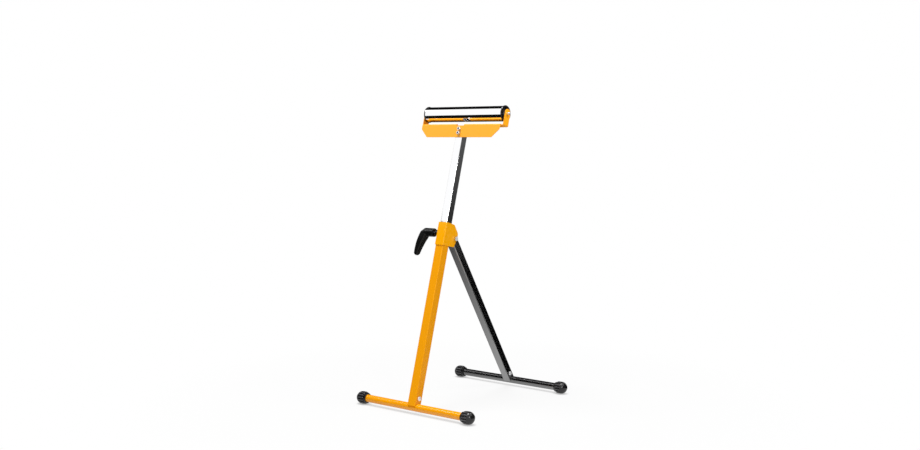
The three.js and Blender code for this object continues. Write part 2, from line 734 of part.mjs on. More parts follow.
function race(seatSize, wall, side) {
  const bearing = seatSize / 2;
  const track = bearing + side * wall;
  const grooveHalf = BALL_SIZE / 2;
  const groove = track - side * RACE_GROOVE;
  const profile = [
    [bearing, bearingInner],
    [track, bearingInner],
    [track, bearingMiddle - grooveHalf],
    [groove, bearingMiddle],
    [track, bearingMiddle + grooveHalf],
    [track, bearingOuter],
    [bearing, bearingOuter],
    [bearing, bearingInner],
  ];
  return turnedX(side > 0 ? profile : profile.reverse(), ROUND_MEDIUM);
}

function ballCage() {
  const innerTrack = axleBore / 2 + INNER_RACE_WALL;
  const outerTrack = BEARING_SIZE / 2 - OUTER_RACE_WALL;
  const pitchRadius = (innerTrack + outerTrack) / 2;
  const half = CAGE_SECTION / 2;
  const cage = ringX(
    2 * pitchRadius + CAGE_SECTION,
    2 * pitchRadius - CAGE_SECTION,
    bearingMiddle - half,
    bearingMiddle + half,
    2 * BALL_COUNT,
  );
  const balls = Array.from({ length: BALL_COUNT }, (_, i) => {
    const ball = new THREE.SphereGeometry(BALL_SIZE / 2, 6, 4).translate(0, pitchRadius, 0);
    return ball.rotateX((i * 2 * Math.PI) / BALL_COUNT).translate(bearingMiddle, 0, 0);
  });
  return join(cage, ...balls);
}

const clipOut = earInner - FIT;
const clipIn = clipOut - AXLE_CLIP;
const spacerSize = axleBore + 2 * SPACER_WALL;
const rollerEnds = {
  roller_end_cap: [rollerEnd(), blackPlastic],
  bearing_outer_race: [race(BEARING_SIZE, OUTER_RACE_WALL, -1), steel],
  bearing_inner_race: [race(axleBore, INNER_RACE_WALL, 1), steel],
  ball_cage: [ballCage(), steel],
  axle_spacer: [ringX(spacerSize, axleBore, bearingOuter + FIT, clipIn - FIT), zinc],
  axle_clip: [ringX(axleBore + 2 * AXLE_CLIP_RIM, axleBore, clipIn, clipOut), zinc],
};
for (const [name, [geometry, material]] of Object.entries(rollerEnds)) {
  add(roller, `${name}_right`, geometry, material);
  add(roller, `${name}_left`, geometry.clone().rotateZ(Math.PI), material);
}

// Clamp, where X runs out from the collar's left cheek, Y to the front and Z up the leg

const clamp = new THREE.Group();
clamp.position.set(-cheekOuter, 0, clampUp);
clamp.rotation.z = Math.PI;
front.add(clamp);

const padInner = postSize / 2 + FIT - cheekOuter;
add(clamp, "clamp_pad", rodX(CLAMP_PAD_SIZE, padInner, -FIT), steel);

const bossEnd = FIT + CLAMP_BOSS_LENGTH;
const boss = cut(
  rodX(CLAMP_BOSS_SIZE, FIT, bossEnd),
  rodX(CLAMP_STUD_SIZE + 2 * FIT, -1, bossEnd + 1),
  rodX(CLAMP_PAD_SIZE + 2 * FIT, -1, 2 * FIT + CLAMP_TRAVEL),
);
add(clamp, "clamp_boss", boss, blackSteel);

const toothStart = INSERT_START + INSERT_COLLAR;
const insertEnd = toothStart + TOOTH_LENGTH;

// A ring of pointed teeth drawn in (Y, Z).
function toothRing(root, tip) {
  const corners = Array.from({ length: 2 * TOOTH_COUNT }, (_, i) => {
    const radius = i % 2 === 0 ? tip : root;
    const angle = (i * Math.PI) / TOOTH_COUNT;
    return [radius * Math.cos(angle), radius * Math.sin(angle)];
  });
  return outline(corners);
}

const toothRoot = INSERT_SIZE / 2 - TOOTH_HEIGHT / 2;
const toothTip = INSERT_SIZE / 2 + TOOTH_HEIGHT / 2;
const stud = cut(
  join(
    rodX(CLAMP_STUD_SIZE, 0, INSERT_START + 1),
    rodX(INSERT_SIZE, INSERT_START, toothStart + 0.5),
    alongX(toothRing(toothRoot, toothTip), toothStart, insertEnd),
  ),
  rodX(LEVER_SCREW_SIZE + 2 * FIT, insertEnd - LEVER_SCREW_GRIP, insertEnd + 1),
);
add(clamp, "clamp_stud", stud, steel);

const hubWebIn = insertEnd + FIT;
const hubWebOut = hubWebIn + HUB_WEB;
const springStart = hubWebOut + FIT;
const screwSeat = springStart + SPRING_LENGTH + FIT;
const screwEnd = insertEnd - LEVER_SCREW_GRIP + FIT;
const leverScrew = join(
  rodX(LEVER_SCREW_SIZE, screwEnd, screwSeat + 1),
  rodX(LEVER_SCREW_HEAD, screwSeat, screwSeat + LEVER_SCREW_HEAD_HIGH),
);
const screwTop = screwSeat + LEVER_SCREW_HEAD_HIGH;
const driveRecess = hexX(LEVER_SCREW_SIZE / 1.6, screwTop - LEVER_SCREW_HEAD_HIGH / 2, screwTop + 1);
add(clamp, "lever_screw", cut(leverScrew, driveRecess), zinc);

// A coil round the lever's screw.
class Coil extends THREE.Curve {
  getPoint(share, target = new THREE.Vector3()) {
    const radius = LEVER_SCREW_SIZE / 2 + FIT + SPRING_WIRE;
    const angle = share * SPRING_COILS * 2 * Math.PI;
    const x = springStart + SPRING_WIRE / 2 + share * (SPRING_LENGTH - SPRING_WIRE);
    return target.set(x, radius * Math.cos(angle), radius * Math.sin(angle));
  }
}

function coilSpring() {
  const wire = new THREE.Shape().absarc(0, 0, SPRING_WIRE / 2, 0, 2 * Math.PI);
  return new THREE.ExtrudeGeometry(wire, {
    steps: 8 * SPRING_COILS,
    curveSegments: 3,
    extrudePath: new Coil(),
  });
}
add(clamp, "lever_spring", coilSpring(), steel);

// Sections of the lever's arm going down from the hub: how far down, inner face, outer face, half width.
const hubStart = INSERT_START + HUB_SET;
const hubEnd = hubStart + HUB_LENGTH;
const armSections = [
  { down: -0.36 * HUB_SIZE, inner: hubEnd - 14, outer: hubEnd - 1, half: 0.3 * HUB_SIZE },
  { down: 0, inner: hubEnd - 15, outer: hubEnd + 7, half: 0.47 * HUB_SIZE },
  { down: 0.2 * LEVER_REACH, inner: hubEnd - 10, outer: hubEnd + 12.5, half: 0.47 * HUB_SIZE },
  { down: 0.45 * LEVER_REACH, inner: hubEnd - 1.5, outer: hubEnd + 18, half: 0.42 * HUB_SIZE },
  { down: 0.73 * LEVER_REACH, inner: hubEnd + 5, outer: hubEnd + 21, half: 0.36 * HUB_SIZE },
  { down: 0.92 * LEVER_REACH, inner: hubEnd + 8, outer: hubEnd + 22, half: 0.3 * HUB_SIZE },
  { down: LEVER_REACH, inner: hubEnd + 11, outer: hubEnd + 19.5, half: 0.2 * HUB_SIZE },
];

// A section's rounded outline, with the room left to its edge.
function armRing({ down, inner, outer, half }, edge = 0) {
  const width = outer - inner - 2 * edge;
  const depth = 2 * (half - edge);
  const corner = 0.3 * Math.min(width, depth);
  const points = roundedRectangle(width, depth, corner).getPoints(1);
  points.pop();
  const middle = (inner + outer) / 2;
  return points.map((point) => new THREE.Vector3(middle + point.x, point.y, -down));
}

function clampLever() {
  const radius = HUB_SIZE / 2;
  const hubProfile = [
    [0, hubStart],
    [radius - 1, hubStart],
    [radius, hubStart + 1],
    [radius, hubEnd - HUB_ROUND],
    [radius - 0.3 * HUB_ROUND, hubEnd - 0.3 * HUB_ROUND],
    [radius - HUB_ROUND, hubEnd],
    [0, hubEnd],
  ];
  const hub = turnedX(hubProfile, ROUND_MEDIUM);
  const arm = loft(armSections.map((section) => armRing(section)));
  // The recess runs along the arm's inner face, between its edges.
  const recessSections = armSections.slice(2, 6).map(({ down, inner, half }) => ({
    down,
    inner: inner - GRIP_RECESS,
    outer: inner + GRIP_RECESS,
    half: half - GRIP_EDGE,
  }));
  const recess = loft(recessSections.map((section) => armRing(section)));
  const toothRoom = 2 * FIT;
  const insertBore = rodX(INSERT_SIZE + TOOTH_HEIGHT + 2 * toothRoom, hubStart - 1, toothStart);
  const teeth = alongX(
    toothRing(toothRoot + toothRoom, toothTip + toothRoom),
    toothStart - 1,
    hubWebIn,
  );
  const screwHole = rodX(LEVER_SCREW_SIZE + 2 * FIT, hubWebIn - 1, hubWebOut + 1);
  const springBore = rodX(LEVER_SCREW_HEAD + 4 * FIT, hubWebOut, hubEnd + HUB_LENGTH);
  return cut(join(hub, arm), recess, insertBore, teeth, screwHole, springBore);
}
add(clamp, "clamp_lever", clampLever(), blackPlastic);

export default stand;
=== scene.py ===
# %% [markdown]
# # A folding roller stand
# A roller stand holds up the far end of a long board beside a saw. This lesson dresses its packed
# CAD model in Blender: round pieces are turned smooth, bent sheets get their bends, moulded pieces
# get soft edges, and every surface gets a procedural finish. The CAD bodies carry all of it.

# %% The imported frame
import math

import bpy
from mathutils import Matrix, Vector


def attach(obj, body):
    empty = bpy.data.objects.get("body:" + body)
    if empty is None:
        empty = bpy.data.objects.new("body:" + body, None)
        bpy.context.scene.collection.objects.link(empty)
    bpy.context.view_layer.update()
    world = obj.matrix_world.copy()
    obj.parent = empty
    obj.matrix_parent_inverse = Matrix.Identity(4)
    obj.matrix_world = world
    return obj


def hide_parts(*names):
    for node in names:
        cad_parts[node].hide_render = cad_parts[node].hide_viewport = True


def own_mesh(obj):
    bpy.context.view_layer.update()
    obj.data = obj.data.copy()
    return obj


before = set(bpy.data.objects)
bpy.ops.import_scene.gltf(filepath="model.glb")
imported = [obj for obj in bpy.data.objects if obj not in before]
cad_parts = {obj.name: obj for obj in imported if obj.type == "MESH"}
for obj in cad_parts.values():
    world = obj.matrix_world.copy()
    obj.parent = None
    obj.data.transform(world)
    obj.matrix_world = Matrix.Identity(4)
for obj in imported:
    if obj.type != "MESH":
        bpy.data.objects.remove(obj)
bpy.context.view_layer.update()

# %% [markdown]
# ## Where things are
# All sizes are real ones in metres. The front leg leans back, so its pieces are easiest to model
# upright, with X across, Y to the back and Z up along the leg, and are leaned into place when they
# are finished. The rear leg leans the other way.

# %% Places and directions
MM = 0.001
FOOT_SPACING = 463 * MM
AXIS_HEIGHT = 18.2 * MM
LEAN = math.radians(16)
COLLAR_UP = 466 * MM
PIVOT_UP = COLLAR_UP + 28.6 * MM
PIVOT_BACK = 34.6 * MM
CLAMP_UP = COLLAR_UP + 36.5 * MM
HEAD_UP = 826.2 * MM


def on_front(back, up, across=0.0):
    """A place measured back from and up along the front leg, from its foot's axis."""
    y = -FOOT_SPACING / 2 + back * math.cos(LEAN) + up * math.sin(LEAN)
    z = AXIS_HEIGHT - back * math.sin(LEAN) + up * math.cos(LEAN)
    return Vector((across, y, z))


FRONT_FOOT = on_front(0, 0)
REAR_FOOT = Vector((0, FOOT_SPACING / 2, AXIS_HEIGHT))
PIVOT = on_front(PIVOT_BACK, PIVOT_UP)
HEAD = on_front(0, HEAD_UP)
REAR_REACH = (PIVOT - REAR_FOOT).length
REAR_LEAN = math.atan2(REAR_FOOT.y - PIVOT.y, PIVOT.z - REAR_FOOT.z)
FRONT_TURN = (-LEAN, 0, 0)
REAR_TURN = (REAR_LEAN, 0, 0)
print("rear leg", round(REAR_REACH, 4), "m, leans", round(math.degrees(REAR_LEAN), 2), "degrees")

# %% [markdown]
# ## Working by hand, in code
# Each helper does what a modeller does with the mouse: choose a piece, select some of its faces or
# edges, apply a modifier, cut one piece with another. Selections go by place and direction, so they
# still hold when a size changes.

# %% Choosing and selecting
WELD = 0.002 * MM


def let_go():
    """Leaves edit mode with no piece selected."""
    if bpy.context.object and bpy.context.object.mode != "OBJECT":
        bpy.ops.object.mode_set(mode="OBJECT")
    bpy.ops.object.select_all(action="DESELECT")


def choose(piece):
    let_go()
    piece.select_set(True)
    bpy.context.view_layer.objects.active = piece


def start(name, primitive, scale=(1, 1, 1), **settings):
    """Adds a primitive, stretches it and applies its place."""
    let_go()
    primitive(**settings)
    piece = bpy.context.object
    piece.name = piece.data.name = name
    piece.scale = scale
    bpy.ops.object.transform_apply(location=True, rotation=True, scale=True)
    return piece


def pick(piece, kind, wanted):
    """Opens edit mode with only the wanted vertices, edges or faces selected."""
    choose(piece)
    bpy.ops.object.mode_set(mode="EDIT")
    bpy.ops.mesh.select_mode(type=kind)
    bpy.ops.mesh.select_all(action="DESELECT")
    bpy.ops.object.mode_set(mode="OBJECT")
    mesh = piece.data
    if kind == "FACE":
        for face in mesh.polygons:
            face.select = wanted(face.center, face.normal)
    elif kind == "EDGE":
        for edge in mesh.edges:
            edge.select = wanted(*(mesh.vertices[i].co for i in edge.vertices))
    else:
        for vertex in mesh.vertices:
            vertex.select = wanted(vertex.co)
    bpy.ops.object.mode_set(mode="EDIT")


def accent(piece, finish, wanted):
    """Gives the wanted faces a finish of their own."""
    piece.data.materials.append(finish)
    pick(piece, "FACE", wanted)
    piece.active_material_index = len(piece.data.materials) - 1
    bpy.ops.object.material_slot_assign()
    bpy.ops.object.mode_set(mode="OBJECT")


def near(value, target):
    return abs(value - target) < 0.02 * MM


def extrude(dx, dy, dz):
    bpy.ops.mesh.extrude_region_move(TRANSFORM_OT_translate={"value": (dx, dy, dz)})


def modify(piece, kind, **settings):
    choose(piece)
    modifier = piece.modifiers.new(kind.lower(), kind)
    for name, value in settings.items():
        setattr(modifier, name, value)
    bpy.ops.object.modifier_apply(modifier=modifier.name)


def cut(piece, tool, operation="DIFFERENCE"):
    """Cuts a piece with a tool, joins them or keeps what they share, and drops the tool."""
    modify(piece, "BOOLEAN", object=tool, operation=operation, solver="EXACT")
    bpy.data.objects.remove(tool)


def soften(piece, width, segments=2, angle=35):
    """Rounds every edge that is sharper than an angle in degrees."""
    modify(
        piece,
        "BEVEL",
        width=width,
        segments=segments,
        limit_method="ANGLE",
        angle_limit=math.radians(angle),
    )


def place(piece, turn=(0, 0, 0), at=(0, 0, 0)):
    """Turns about Z, then Y, then X, moves, and leaves all of it in the mesh."""
    choose(piece)
    piece.rotation_mode = "ZYX"
    piece.rotation_euler = turn
    piece.location = at
    bpy.ops.object.transform_apply(location=True, rotation=True, scale=True)


def copy_of(piece, name):
    twin = piece.copy()
    twin.data = piece.data.copy()
    twin.name = twin.data.name = name
    bpy.context.collection.objects.link(twin)
    return twin


def dress(piece, finish, body, slot, *nodes, angle=35):
    """Smooths and paints a finished piece and hands it to its body."""
    choose(piece)
    bpy.ops.object.shade_smooth_by_angle(angle=math.radians(angle))
    modify(piece, "WEIGHTED_NORMAL", keep_sharp=True)
    if piece.data.materials:
        piece.data.materials[0] = finish
    else:
        piece.data.materials.append(finish)
    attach(piece, body)
    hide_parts(*nodes)
    sizes = " x ".join(f"{side / MM:.1f}" for side in piece.dimensions)
    print(f"{piece.name}: {sizes} mm, {len(piece.data.polygons)} faces")


# %% Blocks, rods and turned pieces
def block(name, low, high):
    sides = [(b - a) / 2 for a, b in zip(low, high)]
    middle = [(a + b) / 2 for a, b in zip(low, high)]
    return start(name, bpy.ops.mesh.primitive_cube_add, sides, location=middle)


def rod_x(name, size, low, high, at=(0, 0), sides=64):
    """A rod along X between two ends, at (y, z)."""
    return start(
        name,
        bpy.ops.mesh.primitive_cylinder_add,
        vertices=sides,
        radius=size / 2,
        depth=high - low,
        rotation=(0, math.pi / 2, 0),
        location=((low + high) / 2, *at),
    )


def turned(name, outline, steps=64):
    """Draws a half outline, points of (radius, x), and spins it about the X axis."""
    piece = start(name, bpy.ops.mesh.primitive_plane_add, (MM, MM, MM))
    bpy.ops.object.mode_set(mode="EDIT")
    bpy.ops.mesh.select_mode(type="VERT")
    bpy.ops.mesh.select_all(action="SELECT")
    bpy.ops.mesh.merge(type="CENTER")
    radius, along = outline[0]
    bpy.ops.transform.translate(value=(along, 0, radius))
    for (radius, along), (next_radius, next_along) in zip(outline, outline[1:]):
        extrude(next_along - along, 0, next_radius - radius)
    bpy.ops.mesh.select_all(action="SELECT")
    bpy.ops.mesh.spin(steps=steps, angle=2 * math.pi, center=(0, 0, 0), axis=(1, 0, 0))
    bpy.ops.mesh.select_all(action="SELECT")
    bpy.ops.mesh.remove_doubles(threshold=WELD)
    bpy.ops.mesh.normals_make_consistent(inside=False)
    bpy.ops.object.mode_set(mode="OBJECT")
    return piece


def in_mm(points):
    return [(radius * MM, along * MM) for radius, along in points]


def arc(radius, along, size, first, last, count=5):
    """Points of a rounded corner about (radius, along), angles in degrees from the X axis."""
    turns = [math.radians(first + (last - first) * i / count) for i in range(count + 1)]
    return [(radius + size * math.sin(t), along + size * math.cos(t)) for t in turns]


def ring(name, outer, inner, low, high, edge=0.25, steps=48, outside=(), inside=()):
    """A turned ring in millimetres, with broken edges and, where given, points of a groove."""
    a, b = outer / 2, inner / 2
    points = [
        (b, low + edge),
        (b + edge, low),
        (a - edge, low),
        (a, low + edge),
        *outside,
        (a, high - edge),
        (a - edge, high),
        (b + edge, high),
        (b, high - edge),
        *inside,
        (b, low + edge),
    ]
    return turned(name, in_mm(points), steps)


# %% [markdown]
# ## Finishes
# The sheet and tube work is powder coated: thick, even paint with a faint orange-peel skin. The post
# and the roller are chromed, the fasteners are zinc plated, and the caps and the lever are moulded.
# Each finish is a few nodes on Object coordinates, so that nothing slides when a body moves.

# %% Building a node material
NOISE_MIDDLE = (0.3, 0.7)


def colour(red, green, blue):
    """A colour as read on a screen, 0 to 255, in Blender's linear values."""
    shares = [value / 255 for value in (red, green, blue)]
    curve = [v / 12.92 if v <= 0.04045 else ((v + 0.055) / 1.055) ** 2.4 for v in shares]
    return (*curve, 1.0)


def new_material(name):
    material = bpy.data.materials.new(name)
    material.use_nodes = True
    tree = material.node_tree
    return material, tree, tree.nodes["Principled BSDF"]


def noise(tree, scale, detail=2.0, stretch=(1, 1, 1)):
    where = tree.nodes.new("ShaderNodeTexCoord")
    mapping = tree.nodes.new("ShaderNodeMapping")
    mapping.inputs["Scale"].default_value = stretch
    texture = tree.nodes.new("ShaderNodeTexNoise")
    texture.inputs["Scale"].default_value = scale
    texture.inputs["Detail"].default_value = detail
    tree.links.new(where.outputs["Object"], mapping.inputs["Vector"])
    tree.links.new(mapping.outputs["Vector"], texture.inputs["Vector"])
    return texture.outputs["Fac"]


def ranged(tree, value, source, target):
    """Takes a value from one range of (low, high) to another."""
    node = tree.nodes.new("ShaderNodeMapRange")
    for name, number in zip(("From Min", "From Max", "To Min", "To Max"), (*source, *target)):
        node.inputs[name].default_value = number
    tree.links.new(value, node.inputs["Value"])
    return node.outputs["Result"]


def between(tree, value, low, high):
    """Takes the middle of a noise to the range from low to high."""
    return ranged(tree, value, NOISE_MIDDLE, (low, high))


def two_shades(tree, value, first, second):
    mix = tree.nodes.new("ShaderNodeMix")
    mix.data_type = "RGBA"
    colours = [socket for socket in mix.inputs if socket.type == "RGBA"]
    colours[0].default_value = first
    colours[1].default_value = second
    tree.links.new(between(tree, value, 0, 1), mix.inputs[0])
    return next(socket for socket in mix.outputs if socket.type == "RGBA")


def bump(tree, shader, height, depth, strength):
    node = tree.nodes.new("ShaderNodeBump")
    node.inputs["Strength"].default_value = strength
    node.inputs["Distance"].default_value = depth
    tree.links.new(height, node.inputs["Height"])
    tree.links.new(node.outputs["Normal"], shader.inputs["Normal"])


# %% Paint, metal and plastic
def powder_coat(name, light, dark, roughness, shine, index=1.5, tint=(1, 1, 1)):
    material, tree, shader = new_material(name)
    shader.inputs["Specular Tint"].default_value = (*tint, 1)
    shader.inputs["IOR"].default_value = index
    shader.inputs["Specular IOR Level"].default_value = shine
    tree.links.new(two_shades(tree, noise(tree, 22), light, dark), shader.inputs["Base Color"])
    gloss = between(tree, noise(tree, 60), roughness - 0.02, roughness + 0.03)
    tree.links.new(gloss, shader.inputs["Roughness"])
    bump(tree, shader, noise(tree, 520, 3), 0.03 * MM, 0.08)
    return material


def plated(name, light, dark, low, high, grain, stretch=(1, 1, 1), depth=0.03 * MM, metal=1.0):
    material, tree, shader = new_material(name)
    shader.inputs["Metallic"].default_value = metal
    tree.links.new(two_shades(tree, noise(tree, 35), light, dark), shader.inputs["Base Color"])
    marks = noise(tree, grain, 3, stretch)
    tree.links.new(between(tree, marks, low, high), shader.inputs["Roughness"])
    bump(tree, shader, marks, depth, 0.2)
    return material


def moulded(name, light, dark, roughness, shine=0.25):
    material, tree, shader = new_material(name)
    shader.inputs["Specular IOR Level"].default_value = shine
    tree.links.new(two_shades(tree, noise(tree, 90), light, dark), shader.inputs["Base Color"])
    gloss = between(tree, noise(tree, 45), roughness - 0.05, roughness + 0.07)
    tree.links.new(gloss, shader.inputs["Roughness"])
    bump(tree, shader, noise(tree, 1500), 0.08 * MM, 0.15)
    return material


YELLOW = powder_coat(
    "yellow_powder_coat", colour(247, 162, 0), colour(245, 160, 0), 0.3, 0.4, tint=(1, 0.85, 0.4)
)
GLOSS_YELLOW = powder_coat("yellow_gloss", colour(246, 161, 0), colour(244, 159, 0), 0.18, 0.5)
# the collar's yellow is a lighter copy of the legs' yellow: painted light for the stronger light higher
# up the stand
COLLAR_YELLOW = powder_coat(
    "yellow_collar", colour(253, 173, 0), colour(251, 171, 0), 0.18, 0.5, tint=(1, 0.9, 0.6)
)
PALE_YELLOW = powder_coat("yellow_sheet", colour(249, 165, 0), colour(247, 163, 0), 0.34, 0.62)
BLACK = powder_coat("black_powder_coat", colour(12, 12, 13), colour(9, 9, 10), 0.32, 0.25)
GLOSS_BLACK = powder_coat("black_gloss", colour(10, 10, 11), colour(7, 7, 8), 0.2, 1.0, 2.2)
TUBE_BLACK = powder_coat("black_tube", colour(9, 9, 10), colour(6, 6, 7), 0.2, 1.0, 1.88)
CHROME = plated(
    "chrome_plate", colour(254, 254, 255), colour(252, 253, 254), 0.03, 0.06, 30, depth=0.002 * MM
)
ZINC = plated("bright_zinc", colour(224, 225, 227), colour(208, 210, 214), 0.2, 0.32, 240, metal=0.7)
PALE_ZINC = plated(
    "pale_zinc", colour(247, 247, 248), colour(240, 241, 243), 0.2, 0.32, 240, metal=0.35
)
BRIGHT_STEEL = plated(
    "bright_steel", colour(240, 241, 243), colour(228, 229, 232), 0.06, 0.12, 120, depth=0.01 * MM
)
STEEL = plated(
    "ground_steel", colour(178, 180, 184), colour(158, 160, 165), 0.24, 0.4, 700, (0.1, 1, 1)
)
# blackened steel for the boss and the stud, and painted shade inside the sockets of the screws
DARK_STEEL = plated("blackened_steel_and_painted_shade", colour(62, 62, 66), colour(48, 48, 52), 0.22, 0.36, 300)
PLASTIC = moulded("black_moulding", colour(25, 25, 26), colour(20, 20, 21), 0.16, 0.5)
# lighter grey plastic for the ridges between the flutes: a painted highlight
RIDGE_PAINTED_HIGHLIGHT = moulded("ridge_painted_highlight", colour(70, 70, 72), colour(58, 58, 60), 0.2, 0.5)
# near-black plastic for the deep faces of the flutes: painted shade in the grooves
FLUTE_PAINTED_SHADE = moulded("flute_painted_shade", colour(6, 6, 6), colour(4, 4, 4), 0.35, 0.15)
LEVER_PLASTIC = moulded("black_lever", colour(15, 15, 15), colour(12, 12, 12), 0.3, 0.25)
GREY_PLASTIC = moulded("grey_washer", colour(150, 151, 153), colour(135, 136, 139), 0.5)
print("finishes:", YELLOW.name, BLACK.name, CHROME.name, ZINC.name, STEEL.name, PLASTIC.name)

# %% [markdown]
# ## Square tubes
# The legs and the post are square tube with rolled corners. A cube is stretched to the outside size,
# its long edges are bevelled to the corner radius, the ends are opened and a Solidify modifier gives
# the wall. The saddle over the cross tube and the slanting top of the rear leg are boolean cuts, as
# a tube shop would make them with a hole saw and a mitre saw.

# %% Tube stock
CORNER = 3 * MM
TUBE_WALL = 1.2 * MM
FIT = 0.3 * MM
LEG_SIZE = 28 * MM
POST_SIZE = 25 * MM
REAR_SIZE = 25.5 * MM
LEG_HEM = 3.5 * MM
LEG_TOP = COLLAR_UP + 66 * MM
REAR_TAIL = 51.9 * MM
FOOT_BOLT_UP = 26 * MM
CROSS_SIZE = 22 * MM
M6_HOLE = 6.6
M8_HOLE = 8.6
CLAMP_HOLE = 12.6 * MM
BUSH_HOLE = 13.2 * MM


def square_tube(name, size, low, high):
    piece = block(name, (-size / 2, -size / 2, low), (size / 2, size / 2, high))
    pick(piece, "EDGE", lambda a, b: abs(a.z - b.z) > size)
    bpy.ops.mesh.bevel(offset=CORNER, segments=6, affect="EDGES")
    pick(piece, "FACE", lambda centre, normal: abs(normal.z) > 0.9)
    bpy.ops.mesh.delete(type="ONLY_FACE")
    modify(piece, "SOLIDIFY", thickness=TUBE_WALL, offset=-1, use_even_offset=True)
    return piece


def hole_x(piece, size, back, up, low=-40 * MM, high=40 * MM):
    cut(piece, rod_x("drill", size, low, high, (back, up), 40))


def leg_foot(piece):
    """The saddle over the cross tube and the bolt's hole."""
    hole_x(piece, CROSS_SIZE + 2 * FIT, 0, 0)
    hole_x(piece, M6_HOLE * MM, 0, FOOT_BOLT_UP)


# %% Front leg, rear leg and post
front_leg = square_tube("front_leg_tube", LEG_SIZE, LEG_HEM, LEG_TOP)
leg_foot(front_leg)
hole_x(front_leg, CLAMP_HOLE, 0, CLAMP_UP, high=0)
place(front_leg, FRONT_TURN, FRONT_FOOT)
dress(front_leg, YELLOW, "front_frame", "yellow_paint", "front_leg")

rear_leg = square_tube("rear_leg_tube", REAR_SIZE, LEG_HEM, REAR_REACH + REAR_TAIL)
leg_foot(rear_leg)
hole_x(rear_leg, BUSH_HOLE, 0, REAR_REACH)
stop_face = LEG_SIZE / 2 + FIT - PIVOT_BACK
mitre = block("mitre", (-30 * MM, -80 * MM, -10 * MM), (30 * MM, stop_face, 120 * MM))
place(mitre, (-LEAN - REAR_LEAN, 0, 0), (0, 0, REAR_REACH))
cut(rear_leg, mitre)
place(rear_leg, REAR_TURN, REAR_FOOT)
dress(rear_leg, GLOSS_BLACK, "rear_frame", "black_paint", "rear_leg")

POST_LENGTH = 589 * MM
HEAD_SCREWS = (-15 * MM, -27.5 * MM)
post = square_tube("post_square_tube", POST_SIZE, -POST_LENGTH, 0)
for up in HEAD_SCREWS:
    drill = rod_x("drill", M6_HOLE * MM, -40 * MM, 40 * MM, sides=40)
    place(drill, (0, 0, math.pi / 2), (0, 0, up))
    cut(post, drill)
place(post, FRONT_TURN, HEAD)
dress(post, CHROME, "post", "chrome", "post_tube")

# %% [markdown]
# ## Cross tubes and their caps
# The stand rests on two round cross tubes. Each end has a moulded cap with a ball end, fluted so that
# it can be gripped and turned. A cap is spun from its outline, and the flutes are a Displace modifier
# weighted by a vertex group: the weight is full in the middle of a flute and fades out on the ball.

# %% Round tubes
RIM = 175 * MM
CAP_BORE = 26 * MM
CROSS_WALL = 1.5


def cross_tube(name, foot, finish, body, slot, node):
    half = RIM + CAP_BORE - FIT
    outer = CROSS_SIZE / 2 / MM
    inner = outer - CROSS_WALL
    piece = ring(name, 2 * outer, 2 * inner, -half / MM, half / MM, 0.3, 72)
    place(piece, at=foot)
    dress(piece, finish, body, slot, node)


cross_tube(
    "front_cross_tube", FRONT_FOOT, GLOSS_YELLOW, "front_frame", "yellow_paint", "front_foot_tube"
)
cross_tube("rear_cross_tube", REAR_FOOT, TUBE_BLACK, "rear_frame", "black_paint", "rear_foot_tube")

# %% Fluted caps
CAP_RADIUS = 18.2
CAP_LENGTH = 38.4
BELT = (13, 20)
FLUTES = 14
FLUTE_DEPTH = 2.8
FLUTE_SHARE = 0.6
FLUTE_FADE = (19, 28)
CAP_INSIDE = 13
BAND_END = 6
# from and to where along the cap the ridges take the painted highlight, in millimetres
RIDGES = (6.2, 23)


def smooth_step(value, low, high):
    share = min(max((value - low) / (high - low), 0), 1)
    return share * share * (3 - 2 * share)


def cap_outline():
    band = [(14, 0), (14.6, 0.6), (14.6, 5.5), (14.9, 6), (16.4, 6.1), (16.9, 6.6)]
    swell = [(17.25, 7.6), (17.6, 8.8), (17.9, 10.2), (18.1, 11.6)]
    belt = [(CAP_RADIUS, BELT[0] + (BELT[1] - BELT[0]) * i / 4) for i in range(4)]
    dome = arc(0, BELT[1], CAP_RADIUS, 90, 0, 18)
    squeeze = (CAP_LENGTH - BELT[1]) / CAP_RADIUS
    dome = [(radius, BELT[1] + (along - BELT[1]) * squeeze) for radius, along in dome]
    dome[-1] = (0, CAP_LENGTH)
    rim = [(0, 26), (11.3, 26), (11.3, 0.6), (11.9, 0)]
    return rim + band + swell + belt + dome


def flute_weight(point):
    """One in the middle of a flute, and zero on the ridges, the band and the ball."""
    x, y, z = point / MM
    if math.hypot(y, z) < CAP_INSIDE or x < BAND_END:
        return 0
    turn = (math.atan2(z, y) + math.pi / 2) / (2 * math.pi) * FLUTES
    off = abs(turn % 1 - 0.5) / (FLUTE_SHARE / 2)
    groove = math.cos(off * math.pi / 2) ** 2 if off < 1 else 0
    return groove * (1 - smooth_step(x, *FLUTE_FADE))


cap = turned("cap_pattern", in_mm(cap_outline()), FLUTES * 12)
flutes = cap.vertex_groups.new(name="flutes")
for vertex in cap.data.vertices:
    flutes.add([vertex.index], flute_weight(vertex.co), "REPLACE")
modify(cap, "DISPLACE", strength=-FLUTE_DEPTH * MM, mid_level=0, vertex_group="flutes")
cap.vertex_groups.clear()
cap.data.materials.append(PLASTIC)
# the faces deep in each flute are painted near black: painted shade in the grooves of the cap
accent(cap, FLUTE_PAINTED_SHADE, lambda centre, normal: flute_weight(centre) > 0.35)
# the ridges between the flutes are painted a lighter grey: a painted highlight where they catch the
# light
accent(
    cap,
    RIDGE_PAINTED_HIGHLIGHT,
    lambda centre, normal: RIDGES[0] < centre.x / MM < RIDGES[1]
    and centre.yz.length > CAP_INSIDE * MM
    and flute_weight(centre) < 0.12,
)

